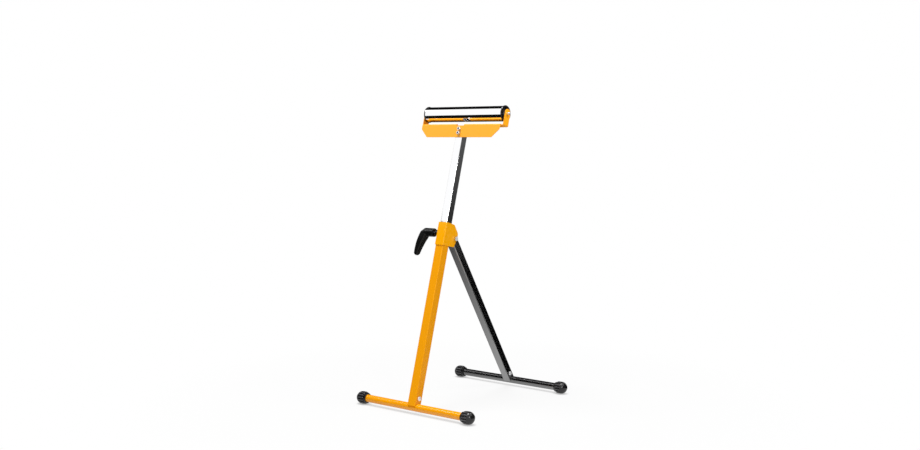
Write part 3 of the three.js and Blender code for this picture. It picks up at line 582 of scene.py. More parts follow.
for foot, at in (("front", FRONT_FOOT), ("rear", REAR_FOOT)):
    for side, turn in (("right", 0), ("left", math.pi)):
        piece = copy_of(cap, f"{foot}_cap_{side}")
        place(piece, (0, 0, turn), at + Vector((RIM * math.cos(turn), 0, 0)))
        node = f"{foot}_foot_cap_{side}"
        dress(piece, PLASTIC, f"{foot}_frame", "black_plastic", node, angle=60)
bpy.data.objects.remove(cap)

# %% [markdown]
# ## Fasteners
# Domed bolts hold the legs on the cross tubes, a hexagon bolt is the pivot, and two socket-head
# screws hold the bracket on the post. Heads are turned or six-sided, with the chamfers and sockets
# that catch the light. Each is modelled along X with its head to +X.

# %% Bolts and nuts
def hexagon(name, flats, low, high, chamfer=0.9):
    """A six-sided prism whose corners are turned down at both ends, in millimetres."""
    piece = rod_x(name, 2 * flats / math.sqrt(3) * MM, low * MM, high * MM, sides=6)
    tip = flats / math.sqrt(3)
    face = flats / 2 - 0.1
    drop = chamfer * (tip - face) / 1.2
    lens = [(0, low), (face, low), (tip + 0.1, low + drop), (tip + 0.1, high - drop)]
    lens += [(face, high), (0, high)]
    cut(piece, turned("lens", in_mm(lens)), "INTERSECT")
    return piece


def shank(size, low, high):
    """A rod with a chamfered free end at low, in millimetres."""
    r = size / 2
    points = [(0, low), (r - 0.6, low), (r, low + 0.6), (r, high), (0, high)]
    return turned("shank", in_mm(points), 40)


def dome_bolt(name, size, head, dome, length):
    r, h = size / 2, head / 2
    turns = [math.radians(10 * i) for i in range(9)]
    crown = [(h * math.cos(t), dome * (0.28 + 0.72 * math.sin(t))) for t in turns]
    points = [(0, -length), (r - 0.6, -length), (r, 0.6 - length), (r, 0), (h - 0.2, 0), (h, 0.2)]
    return turned(name, in_mm(points + crown + [(0, dome)]), 56)


def hex_bolt(name, size, flats, high, length):
    piece = hexagon(name, flats, 0, high)
    cut(piece, shank(size, -length, high / 2), "UNION")
    return piece


def socket_screw(name, size, head, high, socket, length):
    h = head / 2
    points = [(0, 0), (h, 0), (h, high - 0.6), (h - 0.6, high), (0, high)]
    piece = turned(name, in_mm(points), 56)
    cut(piece, shank(size, -length, high / 2), "UNION")
    bottom = high * 0.3
    cut(piece, rod_x("key", 2 * socket / math.sqrt(3) * MM, bottom * MM, high * MM * 2, sides=6))
    rim = (socket / 2 + 0.5) * MM
    piece.data.materials.append(ZINC)
    # the faces inside the socket are painted dark steel: painted shade in the socket's hollow
    accent(
        piece,
        DARK_STEEL,
        lambda centre, normal: centre.x > (bottom - 0.1) * MM and centre.yz.length < rim,
    )
    return piece


def nut(name, flats, high, bore, collar=0):
    piece = hexagon(name, flats, 0, high)
    if collar:
        r = flats * 0.44
        points = [(0, high / 2), (r, high / 2), (r, high + collar - 1), (r - 1, high + collar)]
        cut(piece, turned("collar", in_mm(points + [(0, high + collar)]), 48), "UNION")
    hole_x(piece, bore * MM, 0, 0)
    return piece


# %% Bolts of the feet and of the pivot
# the width across the flats and the height of the nuts, in millimetres
M6_NUT = (10, 5)
M8_NUT = (13, 5.3)
DOME_HEAD = (13, 3.6)
CHEEK_OUTER = 15.8 * MM
WASHER = (13.05, 14.0)

for foot, size, turn, at in (
    ("front", LEG_SIZE, FRONT_TURN, FRONT_FOOT),
    ("rear", REAR_SIZE, REAR_TURN, REAR_FOOT),
):
    seat = size / 2 + FIT
    direction = Vector((0, -math.sin(turn[0]), math.cos(turn[0])))
    centre = at + direction * FOOT_BOLT_UP
    bolt = dome_bolt(f"{foot}_dome_bolt", 6, *DOME_HEAD, 2 * seat / MM + 6.8)
    place(bolt, turn, centre + Vector((seat, 0, 0)))
    dress(bolt, PALE_ZINC, f"{foot}_frame", "zinc", f"{foot}_foot_bolt")
    bolt_nut = nut(f"{foot}_bolt_nut", *M6_NUT, M6_HOLE)
    place(bolt_nut, turn, centre - Vector((seat + M6_NUT[1] * MM, 0, 0)))
    dress(bolt_nut, ZINC, f"{foot}_frame", "zinc", f"{foot}_foot_nut")

pivot_seat = CHEEK_OUTER + FIT
pivot_bolt = hex_bolt("pivot_hex_bolt", 8, *M8_NUT, 2 * pivot_seat / MM + 9.6)
pivot_bolt.data.materials.append(BRIGHT_STEEL)
# the end face takes pale zinc and the sides bright steel: a painted highlight on the end face of the
# one bolt
accent(pivot_bolt, PALE_ZINC, lambda centre, normal: normal.x > 0.9)
place(pivot_bolt, FRONT_TURN, PIVOT + Vector((pivot_seat, 0, 0)))
dress(pivot_bolt, BRIGHT_STEEL, "front_frame", "zinc", "pivot_bolt")
pivot_nut = nut("pivot_lock_nut", *M8_NUT, M8_HOLE, collar=2.5)
place(pivot_nut, (-LEAN, 0, math.pi), PIVOT - Vector((pivot_seat, 0, 0)))
dress(pivot_nut, ZINC, "front_frame", "zinc", "pivot_nut")
for side, sign in (("right", 1), ("left", -1)):
    low, high = sorted(sign * face for face in WASHER)
    washer = ring(f"pivot_{side}_washer", 20, M8_HOLE, low, high, 0.15)
    place(washer, FRONT_TURN, PIVOT)
    dress(washer, GREY_PLASTIC, "front_frame", "grey_plastic", f"pivot_washer_{side}")

# %% [markdown]
# ## Pivot collar
# A folded sheet wraps the head of the front leg: a plate in front and a cheek on each side, which
# reaches back round the pivot. It starts as a box that is opened at the back, top and bottom. The
# front edges are bevelled to the bend, bisect planes trim the cheeks, and Solidify gives the sheet.

# %% Folded collar
NOSE = PIVOT_BACK + 9 * MM
COLLAR_TOP = COLLAR_UP + 67 * MM
COLLAR_SHEET = 1.5 * MM
COLLAR_BEND = 2.5 * MM
CHEEK_CORNER = 3.5 * MM
BROKEN_EDGE = 0.3 * MM
CHEEK_LINES = (
    ((PIVOT_BACK, COLLAR_UP + 3 * MM), (NOSE, PIVOT_UP + 2 * MM)),
    ((NOSE, PIVOT_UP + 16.5 * MM), (21 * MM, COLLAR_TOP)),
    ((-CHEEK_OUTER, COLLAR_UP), (PIVOT_BACK, COLLAR_UP + 3 * MM)),
)
collar = block(
    "folded_collar", (-CHEEK_OUTER, -CHEEK_OUTER, COLLAR_UP), (CHEEK_OUTER, NOSE, COLLAR_TOP)
)
pick(collar, "FACE", lambda centre, normal: normal.y > 0.5 or abs(normal.z) > 0.5)
bpy.ops.mesh.delete(type="ONLY_FACE")
for (y0, z0), (y1, z1) in CHEEK_LINES:
    pick(collar, "FACE", lambda centre, normal: True)
    outwards = (0, z1 - z0, y0 - y1)
    bpy.ops.mesh.bisect(plane_co=(0, y0, z0), plane_no=outwards, clear_outer=True)
corners = [CHEEK_LINES[0][0], CHEEK_LINES[0][1], CHEEK_LINES[1][0], CHEEK_LINES[1][1]]
pick(collar, "VERT", lambda v: any(near(v.y, y) and near(v.z, z) for y, z in corners))
bpy.ops.mesh.bevel(offset=CHEEK_CORNER, segments=5, affect="VERTICES")
pick(
    collar,
    "EDGE",
    lambda a, b: near(a.y, -CHEEK_OUTER) and near(b.y, -CHEEK_OUTER) and near(a.x, b.x),
)
bpy.ops.mesh.bevel(offset=COLLAR_BEND, segments=6, affect="EDGES")
modify(collar, "SOLIDIFY", thickness=COLLAR_SHEET, offset=-1, use_even_offset=True)
hole_x(collar, M8_HOLE * MM, PIVOT_BACK, PIVOT_UP)
hole_x(collar, CLAMP_HOLE, 0, CLAMP_UP, high=0)
soften(collar, BROKEN_EDGE)
place(collar, FRONT_TURN, FRONT_FOOT)
dress(collar, COLLAR_YELLOW, "front_frame", "yellow_paint", "pivot_collar")

# %% [markdown]
# ## Head bracket
# One bent sheet carries the roller: a skirt hangs in front of the post, a web lies on top, and an ear
# stands at each end. The sheet's upper side is drawn as a flat web, its front edge is extruded down
# for the skirt and its ends out and up for the ears. Then the folds are bevelled and Solidify adds
# the thickness below, behind and outside.

# %% Bent bracket
SHEET = 2 * MM
SKIRT_BEND = 3.5 * MM
EAR_BEND = 1.5 * MM
SKIRT_CORNER = 1.5 * MM
NOTCH_HALF = 14 * MM
NOTCH_DEPTH = -4.8 * MM
SKIRT_FRONT = -14.8 * MM
WEB_BACK = 17 * MM
SKIRT_HALF = 143 * MM
SKIRT_HEIGHT = 40 * MM
SKIRT_CHAMFER = 24 * MM
EAR_INNER = 147.2 * MM
EAR_TOP = 48 * MM
EAR_WIDTH = 24 * MM
ROLLER_BACK = 5 * MM
ROLLER_UP = 35 * MM

depth = (WEB_BACK - SKIRT_FRONT) / 2
bracket = start(
    "bent_bracket",
    bpy.ops.mesh.primitive_plane_add,
    (SKIRT_HALF, depth, 1),
    location=(0, SKIRT_FRONT + depth, 0),
)
ear_edges = (ROLLER_BACK - EAR_WIDTH / 2, ROLLER_BACK + EAR_WIDTH / 2)
for y in ear_edges:
    pick(bracket, "FACE", lambda centre, normal: True)
    bpy.ops.mesh.bisect(plane_co=(0, y, 0), plane_no=(0, 1, 0))

for sign in (1, -1):
    pick(
        bracket,
        "EDGE",
        lambda a, b: near(a.x, sign * SKIRT_HALF)
        and near(b.x, sign * SKIRT_HALF)
        and near(abs(a.y - b.y), EAR_WIDTH),
    )
    extrude(sign * (EAR_INNER - SKIRT_HALF), 0, 0)
    extrude(0, 0, EAR_TOP)
pick(bracket, "EDGE", lambda a, b: near(a.y, SKIRT_FRONT) and near(b.y, SKIRT_FRONT))
extrude(0, 0, SKIRT_CHAMFER - SKIRT_HEIGHT)
extrude(0, 0, -SKIRT_CHAMFER)
narrow = (SKIRT_HALF - SKIRT_CHAMFER) / SKIRT_HALF
bpy.ops.transform.resize(value=(narrow, 1, 1), center_override=(0, 0, 0))

# %% Bends, corners and holes of the bracket
pick(bracket, "EDGE", lambda a, b: all(near(v.y, SKIRT_FRONT) and near(v.z, 0) for v in (a, b)))
bpy.ops.mesh.bevel(offset=SKIRT_BEND, segments=5, affect="EDGES")
pick(bracket, "EDGE", lambda a, b: all(near(abs(v.x), EAR_INNER) and near(v.z, 0) for v in (a, b)))
bpy.ops.mesh.bevel(offset=EAR_BEND, segments=4, affect="EDGES")
pick(bracket, "VERT", lambda v: near(v.z, EAR_TOP))
bpy.ops.mesh.bevel(offset=EAR_WIDTH / 2 - 0.02 * MM, segments=10, affect="VERTICES")
pick(bracket, "VERT", lambda v: v.z < -10 * MM)
bpy.ops.mesh.bevel(offset=SKIRT_CORNER, segments=3, affect="VERTICES")
bpy.ops.mesh.select_all(action="SELECT")
bpy.ops.mesh.remove_doubles(threshold=0.03 * MM)
bpy.ops.mesh.normals_make_consistent(inside=False)
bpy.ops.object.mode_set(mode="OBJECT")
web = max(bracket.data.polygons, key=lambda face: face.area if near(face.center.z, 0) else 0)
if web.normal.z < 0:
    bracket.data.flip_normals()
modify(bracket, "SOLIDIFY", thickness=SHEET, offset=-1, use_even_offset=True)
post_room = POST_SIZE / 2 + FIT
notch_front = SKIRT_FRONT - SHEET
notch_back = SKIRT_FRONT + SKIRT_BEND
for half, back in ((post_room, post_room), (NOTCH_HALF, notch_back)):
    cut(bracket, block("notch", (-half, notch_front, NOTCH_DEPTH), (half, back, SHEET)))
hole_x(bracket, M8_HOLE * MM, ROLLER_BACK, ROLLER_UP, -200 * MM, 200 * MM)
for up in HEAD_SCREWS:
    drill = rod_x("drill", M6_HOLE * MM, -20 * MM, 0, sides=40)
    place(drill, (0, 0, math.pi / 2), (0, 0, up))
    cut(bracket, drill)
soften(bracket, BROKEN_EDGE)
place(bracket, FRONT_TURN, HEAD)
dress(bracket, PALE_YELLOW, "post", "yellow_paint", "head_bracket")

# %% Screws of the head
for label, up in zip(("upper", "lower"), HEAD_SCREWS):
    middle = on_front(0, HEAD_UP + up)
    back = Vector((0, math.cos(LEAN), -math.sin(LEAN)))
    screw = socket_screw(f"{label}_socket_screw", 6, 10, 6, 5, 34.7)
    place(screw, (-LEAN, 0, -math.pi / 2), middle + back * (SKIRT_FRONT - FIT))
    dress(screw, ZINC, "post", "zinc", f"head_screw_{label}")
    screw_nut = nut(f"{label}_screw_nut", *M6_NUT, M6_HOLE)
    place(screw_nut, (-LEAN, 0, math.pi / 2), middle + back * (POST_SIZE / 2 + FIT))
    dress(screw_nut, ZINC, "post", "zinc", f"head_nut_{label}")

# %% [markdown]
# ## Roller
# The roller is a chromed tube with a plastic end pressed into each mouth. The end is a turned pattern
# with a ring pocket, crossed by ribs that are joined on one by one. Bearing races, spacers and clips
# on the still axle are turned rings.

# %% Tube, axle and rings
ROLLER = on_front(ROLLER_BACK, HEAD_UP + ROLLER_UP)
ROLLER_SIZE = 44.6
ROLLER_BORE = ROLLER_SIZE - 3
ROLLER_HALF = 139.8

tube = ring("roller_chrome_tube", ROLLER_SIZE, ROLLER_BORE, -ROLLER_HALF, ROLLER_HALF, 0.3, 128)
place(tube, FRONT_TURN, ROLLER)
dress(tube, CHROME, "roller", "chrome", "roller_tube")

end = [(0, -156.8), (2.6, -156.8), (3.4, -156.6), (3.85, -156.1), (4, -155.4)]
points = end + [(radius, -along) for radius, along in reversed(end)]
axle = turned("roller_axle", in_mm(points), 56)
place(axle, FRONT_TURN, ROLLER)
dress(axle, ZINC, "post", "steel", "axle")

# outer and inner size of each ring, and where it lies along the axle, in millimetres
RINGS = (
    ("outer_race", "bearing_outer_race", 22, 18.6, 129.1, 136.1, STEEL, "steel", "roller"),
    ("inner_race", "bearing_inner_race", 12.4, M8_HOLE, 129.1, 136.1, STEEL, "steel", "post"),
    ("spacer", "axle_spacer", 12, M8_HOLE, 136.4, 145.6, ZINC, "zinc", "post"),
    ("clip", "axle_clip", 14.6, M8_HOLE, 145.9, 146.9, ZINC, "zinc", "post"),
)
# the balls run in a groove in each race
BALL_RING = 7.75
BALL_GROOVE = 2.05


def ball_groove(label, middle):
    """Points of the groove in a bearing race about its middle. Other rings have none."""
    grooves = {"inner_race": ("outside", -131, -49), "outer_race": ("inside", 49, 131)}
    if label not in grooves:
        return {}
    face, first, last = grooves[label]
    return {face: arc(BALL_RING, middle, BALL_GROOVE, first, last, 8)}


for label, node, outer, inner, low, high, finish, slot, body in RINGS:
    for side, sign in (("right", 1), ("left", -1)):
        near_end, far_end = sorted((sign * low, sign * high))
        groove = ball_groove(label, (near_end + far_end) / 2)
        piece = ring(f"{side}_{label}", outer, inner, near_end, far_end, 0.2, 56, **groove)
        place(piece, FRONT_TURN, ROLLER)
        dress(piece, finish, body, slot, f"{node}_{side}")

# %% Ribbed ends
RIBS = 14
RIB_HALF = 0.75
POCKET = (13, 18.8)
end_outline = [(8, 124.1), (8, 128.8), (11.3, 128.8), (11.3, 141), (11.6, 141.4), (12.7, 141.4)]
end_outline += [(POCKET[0], 141), (POCKET[0], 137.6), (POCKET[1], 137.6), (POCKET[1], 141.6)]
end_outline += [(19.6, 142.6), (22.7, 142.6), (23.6, 142.2), (23.9, 141.4), (23.9, 140.4)]
end_outline += [(23.6, 140.1), (20.5, 140.1), (20.5, 125.1), (19.5, 124.1), (8, 124.1)]
ribbed = turned("end_pattern", in_mm(end_outline), RIBS * 8)
for index in range(RIBS):
    inner, outer = POCKET[0] - 0.5, POCKET[1] + 0.5
    low = [side * MM for side in (136.6, inner, -RIB_HALF)]
    high = [side * MM for side in (140.2, outer, RIB_HALF)]
    rib = block("rib", low, high)
    place(rib, (2 * math.pi * (index + 0.5) / RIBS, 0, 0))
    cut(ribbed, rib, "UNION")
for side, turn in (("right", 0), ("left", math.pi)):
    piece = copy_of(ribbed, f"{side}_ribbed_end")
    place(piece, (0, 0, turn))
    place(piece, FRONT_TURN, ROLLER)
    dress(piece, PLASTIC, "roller", "black_plastic", f"roller_end_cap_{side}")
bpy.data.objects.remove(ribbed)

# %% [markdown]
# ## Clamping lever
# The lever clamps the post in the leg. It takes the most care to model: a turned hub runs into an arm
# that bends outwards and flattens, and the whole is one moulding. The arm starts as a flat face that
# is extruded and resized section by section. Hub and arm are joined, remeshed and smoothed, so the
# edges melt together as in a mould, and then the bores for the insert, teeth, screw and spring are cut.

# %% Lever arm and hub
# inner and outer side of the arm, and half its width, at distances down from the hub's axis
ARM = (
    (-9, 44, 57, 7.5),
    (0, 43, 65, 11.75),
    (14, 48, 70.5, 11.75),
    (31.5, 56.5, 76, 10.5),
    (51.1, 63, 79, 9),
    (64.4, 66, 80, 7.5),
    (70, 69, 77.5, 5),
)


def arm_of(name, sections):
    """Extrudes a face down through sections of (down, inner, outer, half)."""
    down, inner, outer, half = sections[0]
    piece = start(
        name,
        bpy.ops.mesh.primitive_plane_add,
        ((outer - inner) / 2 * MM, half * MM, 1),
        location=((inner + outer) / 2 * MM, 0, -down * MM),
    )
    bpy.ops.object.mode_set(mode="EDIT")
    bpy.ops.mesh.select_mode(type="FACE")
    bpy.ops.mesh.select_all(action="SELECT")
    for (d0, i0, o0, h0), (d1, i1, o1, h1) in zip(sections, sections[1:]):
        middle = (i1 + o1) / 2
        extrude((middle - (i0 + o0) / 2) * MM, 0, (d0 - d1) * MM)
        wide = ((o1 - i1) / (o0 - i0), h1 / h0, 1)
        bpy.ops.transform.resize(value=wide, center_override=(middle * MM, 0, -d1 * MM))
    bpy.ops.mesh.select_all(action="SELECT")
    bpy.ops.mesh.normals_make_consistent(inside=False)
    bpy.ops.object.mode_set(mode="OBJECT")
    return piece


lever = turned(
    "moulded_lever",
    in_mm([(0, 20), (12, 20), (12.5, 20.5)] + arc(7.5, 53, 5, 90, 0, 6) + [(0, 58)]),
    64,
)
arm = arm_of("arm", ARM)
soften(arm, 2.4 * MM, 4, 30)
cut(lever, arm, "UNION")
grip = [(down, inner - 4, inner + 4, half - 4.5) for down, inner, _, half in ARM[2:6]]
hollow = arm_of("hollow", grip)
soften(hollow, 1.5 * MM, 3, 30)
cut(lever, hollow)
modify(lever, "REMESH", mode="VOXEL", voxel_size=0.6 * MM, adaptivity=0)
modify(lever, "SMOOTH", factor=0.5, iterations=5)
modify(lever, "DECIMATE", decimate_type="COLLAPSE", ratio=0.35)

# %% Bores and teeth of the lever
TEETH = 10


def toothed(name, low, high, root, crest):
    """A rod with trapezoid teeth, whose sides are drawn in between the teeth."""
    piece = rod_x(name, 2 * crest * MM, low * MM, high * MM, sides=TEETH * 4)
    pick(
        piece,
        "VERT",
        lambda v: int(((math.atan2(v.z, v.y) / (2 * math.pi) * TEETH) % 1) * 4 + 0.5) % 4 < 2,
    )
    share = root / crest
    bpy.ops.transform.resize(value=(1, share, share), center_override=(0, 0, 0))
    bpy.ops.object.mode_set(mode="OBJECT")
    return piece


cut(lever, rod_x("insert_bore", 19.7 * MM, 10 * MM, 31 * MM))
cut(lever, toothed("tooth_bore", 30, 36.3, 8.75, 9.85))
cut(lever, rod_x("screw_hole", 5.6 * MM, 30 * MM, 45 * MM, sides=40))
cut(lever, rod_x("spring_bore", 10.8 * MM, 39.3 * MM, 70 * MM))
CLAMP_TURN = (-LEAN, 0, math.pi)
CLAMP = on_front(0, CLAMP_UP, -CHEEK_OUTER)
place(lever, CLAMP_TURN, CLAMP)
dress(lever, LEVER_PLASTIC, "lever", "black_plastic", "clamp_lever", angle=40)

# %% Boss, threaded stud and screw
boss = ring("clamp_round_boss", 18, 10.6, 0.3, 10.3, 0.5, 64)
cut(boss, rod_x("relief", CLAMP_HOLE, -2 * MM, 1.8 * MM))
place(boss, CLAMP_TURN, CLAMP)
dress(boss, DARK_STEEL, "front_frame", "black_steel", "clamp_boss")

THREAD_PITCH = 1.5
THREAD_TURNS = 5
CREST = 5
ROOT = 4.45
thread = []
for turn in range(THREAD_TURNS):
    along = 10.5 + turn * THREAD_PITCH
    thread += [(CREST, along), (ROOT, along + 0.55), (ROOT, along + 0.75), (CREST, along + 1.3)]
stud_outline = [(0, 0), (4.4, 0), (CREST, 0.6)] + thread
stud_outline += [(CREST, 19.5), (8.4, 19.5), (8.7, 19.8)]
stud_outline += [(8.7, 31.4), (0, 31.4)]
stud = turned("clamp_threaded_stud", in_mm(stud_outline), 56)
cut(stud, toothed("teeth", 31, 36, 8.15, 9.25), "UNION")
cut(stud, rod_x("tapped_hole", 5.6 * MM, 26 * MM, 40 * MM, sides=40))
place(stud, CLAMP_TURN, CLAMP)
dress(stud, DARK_STEEL, "clamp_screw", "zinc", "clamp_stud")

SCREW_SEAT = 51.9 * MM
screw = socket_screw("lever_cap_screw", 5, 9.6, 3.5, 4, 25.6)
place(screw, at=(SCREW_SEAT, 0, 0))
place(screw, CLAMP_TURN, CLAMP)
dress(screw, ZINC, "clamp_screw", "zinc", "lever_screw")

# %% Spring of the lever
SPRING = (39.6, 51.6)
SPRING_RADIUS = 3.7
WIRE = 0.45
COILS = 4
coil = start(
    "lever_coil_spring",
    bpy.ops.mesh.primitive_circle_add,
    vertices=12,
    radius=WIRE * MM,
    location=((SPRING[0] + WIRE) * MM, 0, SPRING_RADIUS * MM),
    rotation=(math.pi / 2, 0, 0),
)
spring_length = SPRING[1] - SPRING[0]
rise = (spring_length - 2 * WIRE) / COILS * MM
modify(coil, "SCREW", axis="X", steps=28, render_steps=28, iterations=COILS, screw_offset=rise)
bpy.ops.object.mode_set(mode="EDIT")
bpy.ops.mesh.select_all(action="SELECT")
bpy.ops.mesh.remove_doubles(threshold=WELD)
bpy.ops.mesh.fill_holes(sides=0)
bpy.ops.mesh.select_all(action="SELECT")
bpy.ops.mesh.normals_make_consistent(inside=False)
bpy.ops.object.mode_set(mode="OBJECT")
place(coil, CLAMP_TURN, CLAMP)
dress(coil, STEEL, "clamp_screw", "steel", "lever_spring", angle=60)
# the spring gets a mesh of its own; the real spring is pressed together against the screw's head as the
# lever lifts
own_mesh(coil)

# %% [markdown]
# ## Pieces kept from the CAD model
# Hidden pieces, and the caged balls that the CAD model already shapes well, stay as they are and only
# take their finish.

# %% Finishes for what stays
KEPT = {
    "front_foot_stub": YELLOW,
    "rear_foot_stub": BLACK,
    "rear_pivot_bush": STEEL,
    "post_end_plug": PLASTIC,
    "clamp_pad": STEEL,
    "ball_cage_left": STEEL,
    "ball_cage_right": STEEL,
}
for name, finish in KEPT.items():
    node = bpy.data.objects[name]
    for material_slot in node.material_slots:
        material_slot.material = finish
print("kept from the CAD model:", sorted(KEPT))

# %% [markdown]
# ## Floor, light and camera
# The stand is shown as on a catalogue page: white all round, with soft light mostly from above and
# small lamps at the right. The floor and the world are white for the camera, for mirrors and for
# glass, and a plain pale grey for light that bounces, so the white page adds no light. Near the stand
# the floor is lit like any pale floor, so it keeps the soft shadow, and an occlusion node paints a
# contact shadow on the white page, darker where a piece comes close. Dark cards that only a mirror
# sees draw the dark bands on the chrome and the gloss paint, as black flags do in a studio, and a
# small white card puts a glint on the pivot bolt.

# %% Floor and surroundings
PAGE_RADIUS = 8
PAGE_GREY = 0.65
# the page is full white from the second distance on, and shows shadows inside the first
FADE_DISTANCES = (0.4, 1.0)
FADE_SHARES = (0.86, 1.0)
CONTACT_REACH = 13 * MM
CONTACT_OPENNESS = (0.2, 0.85)
CONTACT_SHADES = (0.5, 1.0)
BOUNCED_SKY = 0.36


def combined(tree, operation, first, second):
    """A Math node of two sockets, or of a socket and a number."""
    node = tree.nodes.new("ShaderNodeMath")
    node.operation = operation
    tree.links.new(first, node.inputs[0])
    if isinstance(second, float):
        node.inputs[1].default_value = second
    else:
        tree.links.new(second, node.inputs[1])
    return node.outputs[0]


def seen_directly(tree):
    """One for rays of camera, mirrors and glass, and zero once light has bounced off paint."""
    path = tree.nodes.new("ShaderNodeLightPath").outputs
    value = path["Is Camera Ray"]
    for name in ("Is Glossy Ray", "Is Transmission Ray"):
        value = combined(tree, "MAXIMUM", value, path[name])
    first = combined(tree, "LESS_THAN", path["Diffuse Depth"], 0.5)
    return combined(tree, "MULTIPLY", value, first)


floor = start(
    "floor",
    bpy.ops.mesh.primitive_circle_add,
    vertices=96,
    radius=PAGE_RADIUS,
    fill_type="NGON",
)
floor.location.z = -0.5 * MM
floor_paint, tree, shader = new_material("white_page")
shader.inputs["Base Color"].default_value = (PAGE_GREY, PAGE_GREY, PAGE_GREY, 1)
shader.inputs["Roughness"].default_value = 1.0
shader.inputs["Specular IOR Level"].default_value = 0.0
where = tree.nodes.new("ShaderNodeTexCoord")
length = tree.nodes.new("ShaderNodeVectorMath")
length.operation = "LENGTH"
tree.links.new(where.outputs["Object"], length.inputs[0])
fade = ranged(tree, length.outputs["Value"], FADE_DISTANCES, FADE_SHARES)
share = combined(tree, "MULTIPLY", fade, seen_directly(tree))
# a painted contact shadow: ambient occlusion darkens the white page where a piece comes close
near_by = tree.nodes.new("ShaderNodeAmbientOcclusion")
near_by.samples = 8
near_by.inputs["Distance"].default_value = CONTACT_REACH
contact = ranged(tree, near_by.outputs["AO"], CONTACT_OPENNESS, CONTACT_SHADES)
page = tree.nodes.new("ShaderNodeEmission")
tree.links.new(contact, page.inputs["Strength"])
mix = tree.nodes.new("ShaderNodeMixShader")
tree.links.new(share, mix.inputs["Fac"])
tree.links.new(shader.outputs["BSDF"], mix.inputs[1])
tree.links.new(page.outputs["Emission"], mix.inputs[2])
tree.links.new(mix.outputs["Shader"], tree.nodes["Material Output"].inputs["Surface"])
floor_paint.cycles.emission_sampling = "NONE"
floor.data.materials.append(floor_paint)

world = bpy.data.worlds.new("white_surroundings")
bpy.context.scene.world = world
world.use_nodes = True
tree = world.node_tree
sky = tree.nodes["Background"]
sky.inputs["Color"].default_value = (1, 1, 1, 1)
strength = ranged(tree, seen_directly(tree), (0, 1), (BOUNCED_SKY, 1))
tree.links.new(strength, sky.inputs["Strength"])
print("stage:", floor.name, "and", world.name)

# %% Lamps
AIM = Vector((0, 0, 0.45))


def softbox(name, at, size, power, glint=False):
    """A soft lamp aimed at the stand. A glint lamp only draws highlights and adds no other light."""
    lamp = bpy.data.lights.new(name, "AREA")
    lamp.shape = "RECTANGLE"
    lamp.size, lamp.size_y = size
    lamp.energy = power
    lamp_object = bpy.data.objects.new(name, lamp)
    lamp_object.location = at
    lamp_object.rotation_euler = (AIM - Vector(at)).to_track_quat("-Z", "Y").to_euler()
    lamp_object.visible_diffuse = not glint
    bpy.context.collection.objects.link(lamp_object)
    print(f"{name}: {power} W")


softbox("key", (-0.35, -0.45, 3.2), (1.0, 1.0), 97)
softbox("side", (1.6, 0.3, 1.6), (0.7, 0.7), 4)
softbox("head_light", (0.5, 0.12, 1.2), (0.2, 0.2), 2.2)
softbox("edge", (2.0, -1.55, 1.26), (0.2, 0.8), 10.5)
softbox("tube_glint", (-1.49, -0.76, 2.02), (0.25, 0.5), 5, glint=True)

# %% Cards that only mirrors see
def card_paint(name, low, high, start_at=0.0, end_at=1.0):
    """An even grey, or one that goes from a low to a high shade along the card."""
    material, tree, shader = new_material(name)
    shader.inputs["Base Color"].default_value = (0, 0, 0, 1)
    shader.inputs["Specular IOR Level"].default_value = 0.0
    shader.inputs["Emission Color"].default_value = (1, 1, 1, 1)
    where = tree.nodes.new("ShaderNodeTexCoord")
    parts = tree.nodes.new("ShaderNodeSeparateXYZ")
    tree.links.new(where.outputs["UV"], parts.inputs["Vector"])
    shade = ranged(tree, parts.outputs["Y"], (start_at, end_at), (low, high))
    tree.links.new(shade, shader.inputs["Emission Strength"])
    material.cycles.emission_sampling = "NONE"
    return material


BLACK_CARD = card_paint("black_card", 0.004, 0.004)
WALL_CARD = card_paint("grey_card", 0.004, 0.09, 0.19, 0.52)
WHITE_CARD = card_paint("white_card", 1.0, 1.0)
FLOOR_CARD = card_paint("fading_card", 1.0, 0.0, 0.0, 0.9)


def card(name, at, turn, size, paint):
    """A card that is seen only in mirrors, turned about X and then about Z, in degrees."""
    piece = start(name, bpy.ops.mesh.primitive_plane_add, (size[0] / 2, size[1] / 2, 1))
    piece.rotation_euler = (math.radians(turn[0]), 0, math.radians(turn[1]))
    piece.location = at
    piece.data.materials.append(paint)
    piece.visible_camera = False
    piece.visible_diffuse = False
    piece.visible_shadow = False
    piece.visible_transmission = False
    print(f"{name}: {size[0]} x {size[1]} m")


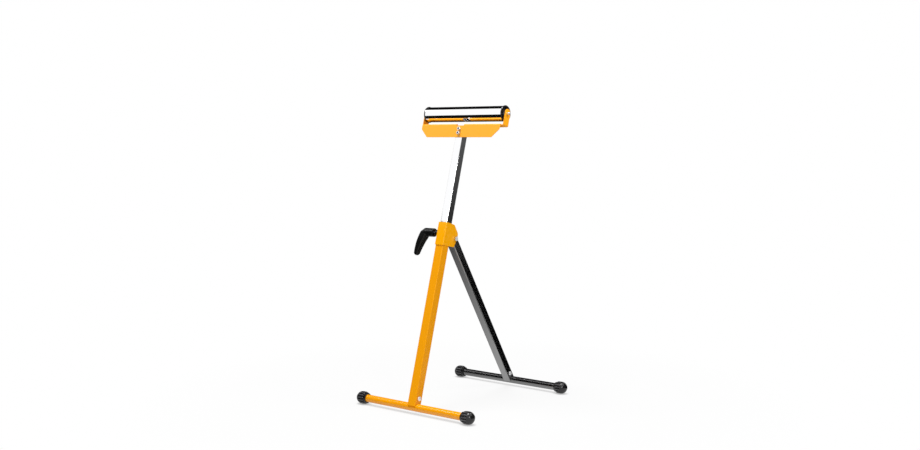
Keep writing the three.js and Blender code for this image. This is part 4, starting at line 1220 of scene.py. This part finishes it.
card("back_card", (-2.0, 2.2, 1.5), (90, 0), (3.2, 3.0), BLACK_CARD)
card("top_card", (-2.0, 0.95, 3.0), (0, 0), (3.2, 2.5), BLACK_CARD)
card("left_floor_card", (-1.5, -1.55, 0.001), (0, 0), (2.1, 2.3), BLACK_CARD)
card("leg_card", (-0.346, -0.517, 0.3675), (90, 141), (0.7, 0.735), BLACK_CARD)
card("back_floor_card", (-1.45, 1.3, 0.001), (0, 0), (1.9, 1.8), BLACK_CARD)
card("near_floor_card", (-0.28, 0.0, 0.001), (0, 90), (1.0, 0.5), FLOOR_CARD)
card("right_card", (0.9, 1.2, 0.78), (90, -38.6), (1.6, 1.56), WALL_CARD)
card("side_card", (1.5, 0.15, 0.78), (90, -90), (1.2, 1.56), WALL_CARD)
card("right_floor_card", (0.75, 0.9, 0.001), (0, 0), (1.4, 1.2), BLACK_CARD)
card("glint_card", (0.9615, 1.132, 0.344), (90, -38.6), (0.06, 0.05), WHITE_CARD)
card("tube_left_card", (-0.125, 0.195, 0.065), (90, 0), (0.19, 0.07), BLACK_CARD)
card("tube_right_card", (0.0825, 0.195, 0.065), (90, 0), (0.135, 0.07), BLACK_CARD)
card("tube_top_card", (-0.02, 0.315, 0.25), (0, 0), (0.3, 0.21), BLACK_CARD)
card("side_floor_card", (0.31, -0.02, 0.001), (0, 0), (0.56, 0.2), BLACK_CARD)
card("end_card", (-0.6, 0.26, 0.85), (90, 90), (0.32, 0.6), BLACK_CARD)

# %% Camera at the catalogue's angle
AZIMUTH = math.radians(38.04)
CAMERA_PITCH = math.radians(4.545)
camera_data = bpy.data.cameras.new("camera")
camera_data.lens = 43.084
camera_data.sensor_width = 36
camera = bpy.data.objects.new("camera", camera_data)
level = math.cos(CAMERA_PITCH)
away = Vector((math.sin(AZIMUTH) * level, -math.cos(AZIMUTH) * level, math.sin(CAMERA_PITCH)))
camera.location = (1.9855, -2.5572, 0.7768)
camera.rotation_mode = "QUATERNION"
camera.rotation_quaternion = (-away).to_track_quat("-Z", "Y")
bpy.context.collection.objects.link(camera)
bpy.context.scene.camera = camera
bpy.context.scene.view_settings.view_transform = "Standard"
print("camera at", [round(metres, 3) for metres in camera.location])
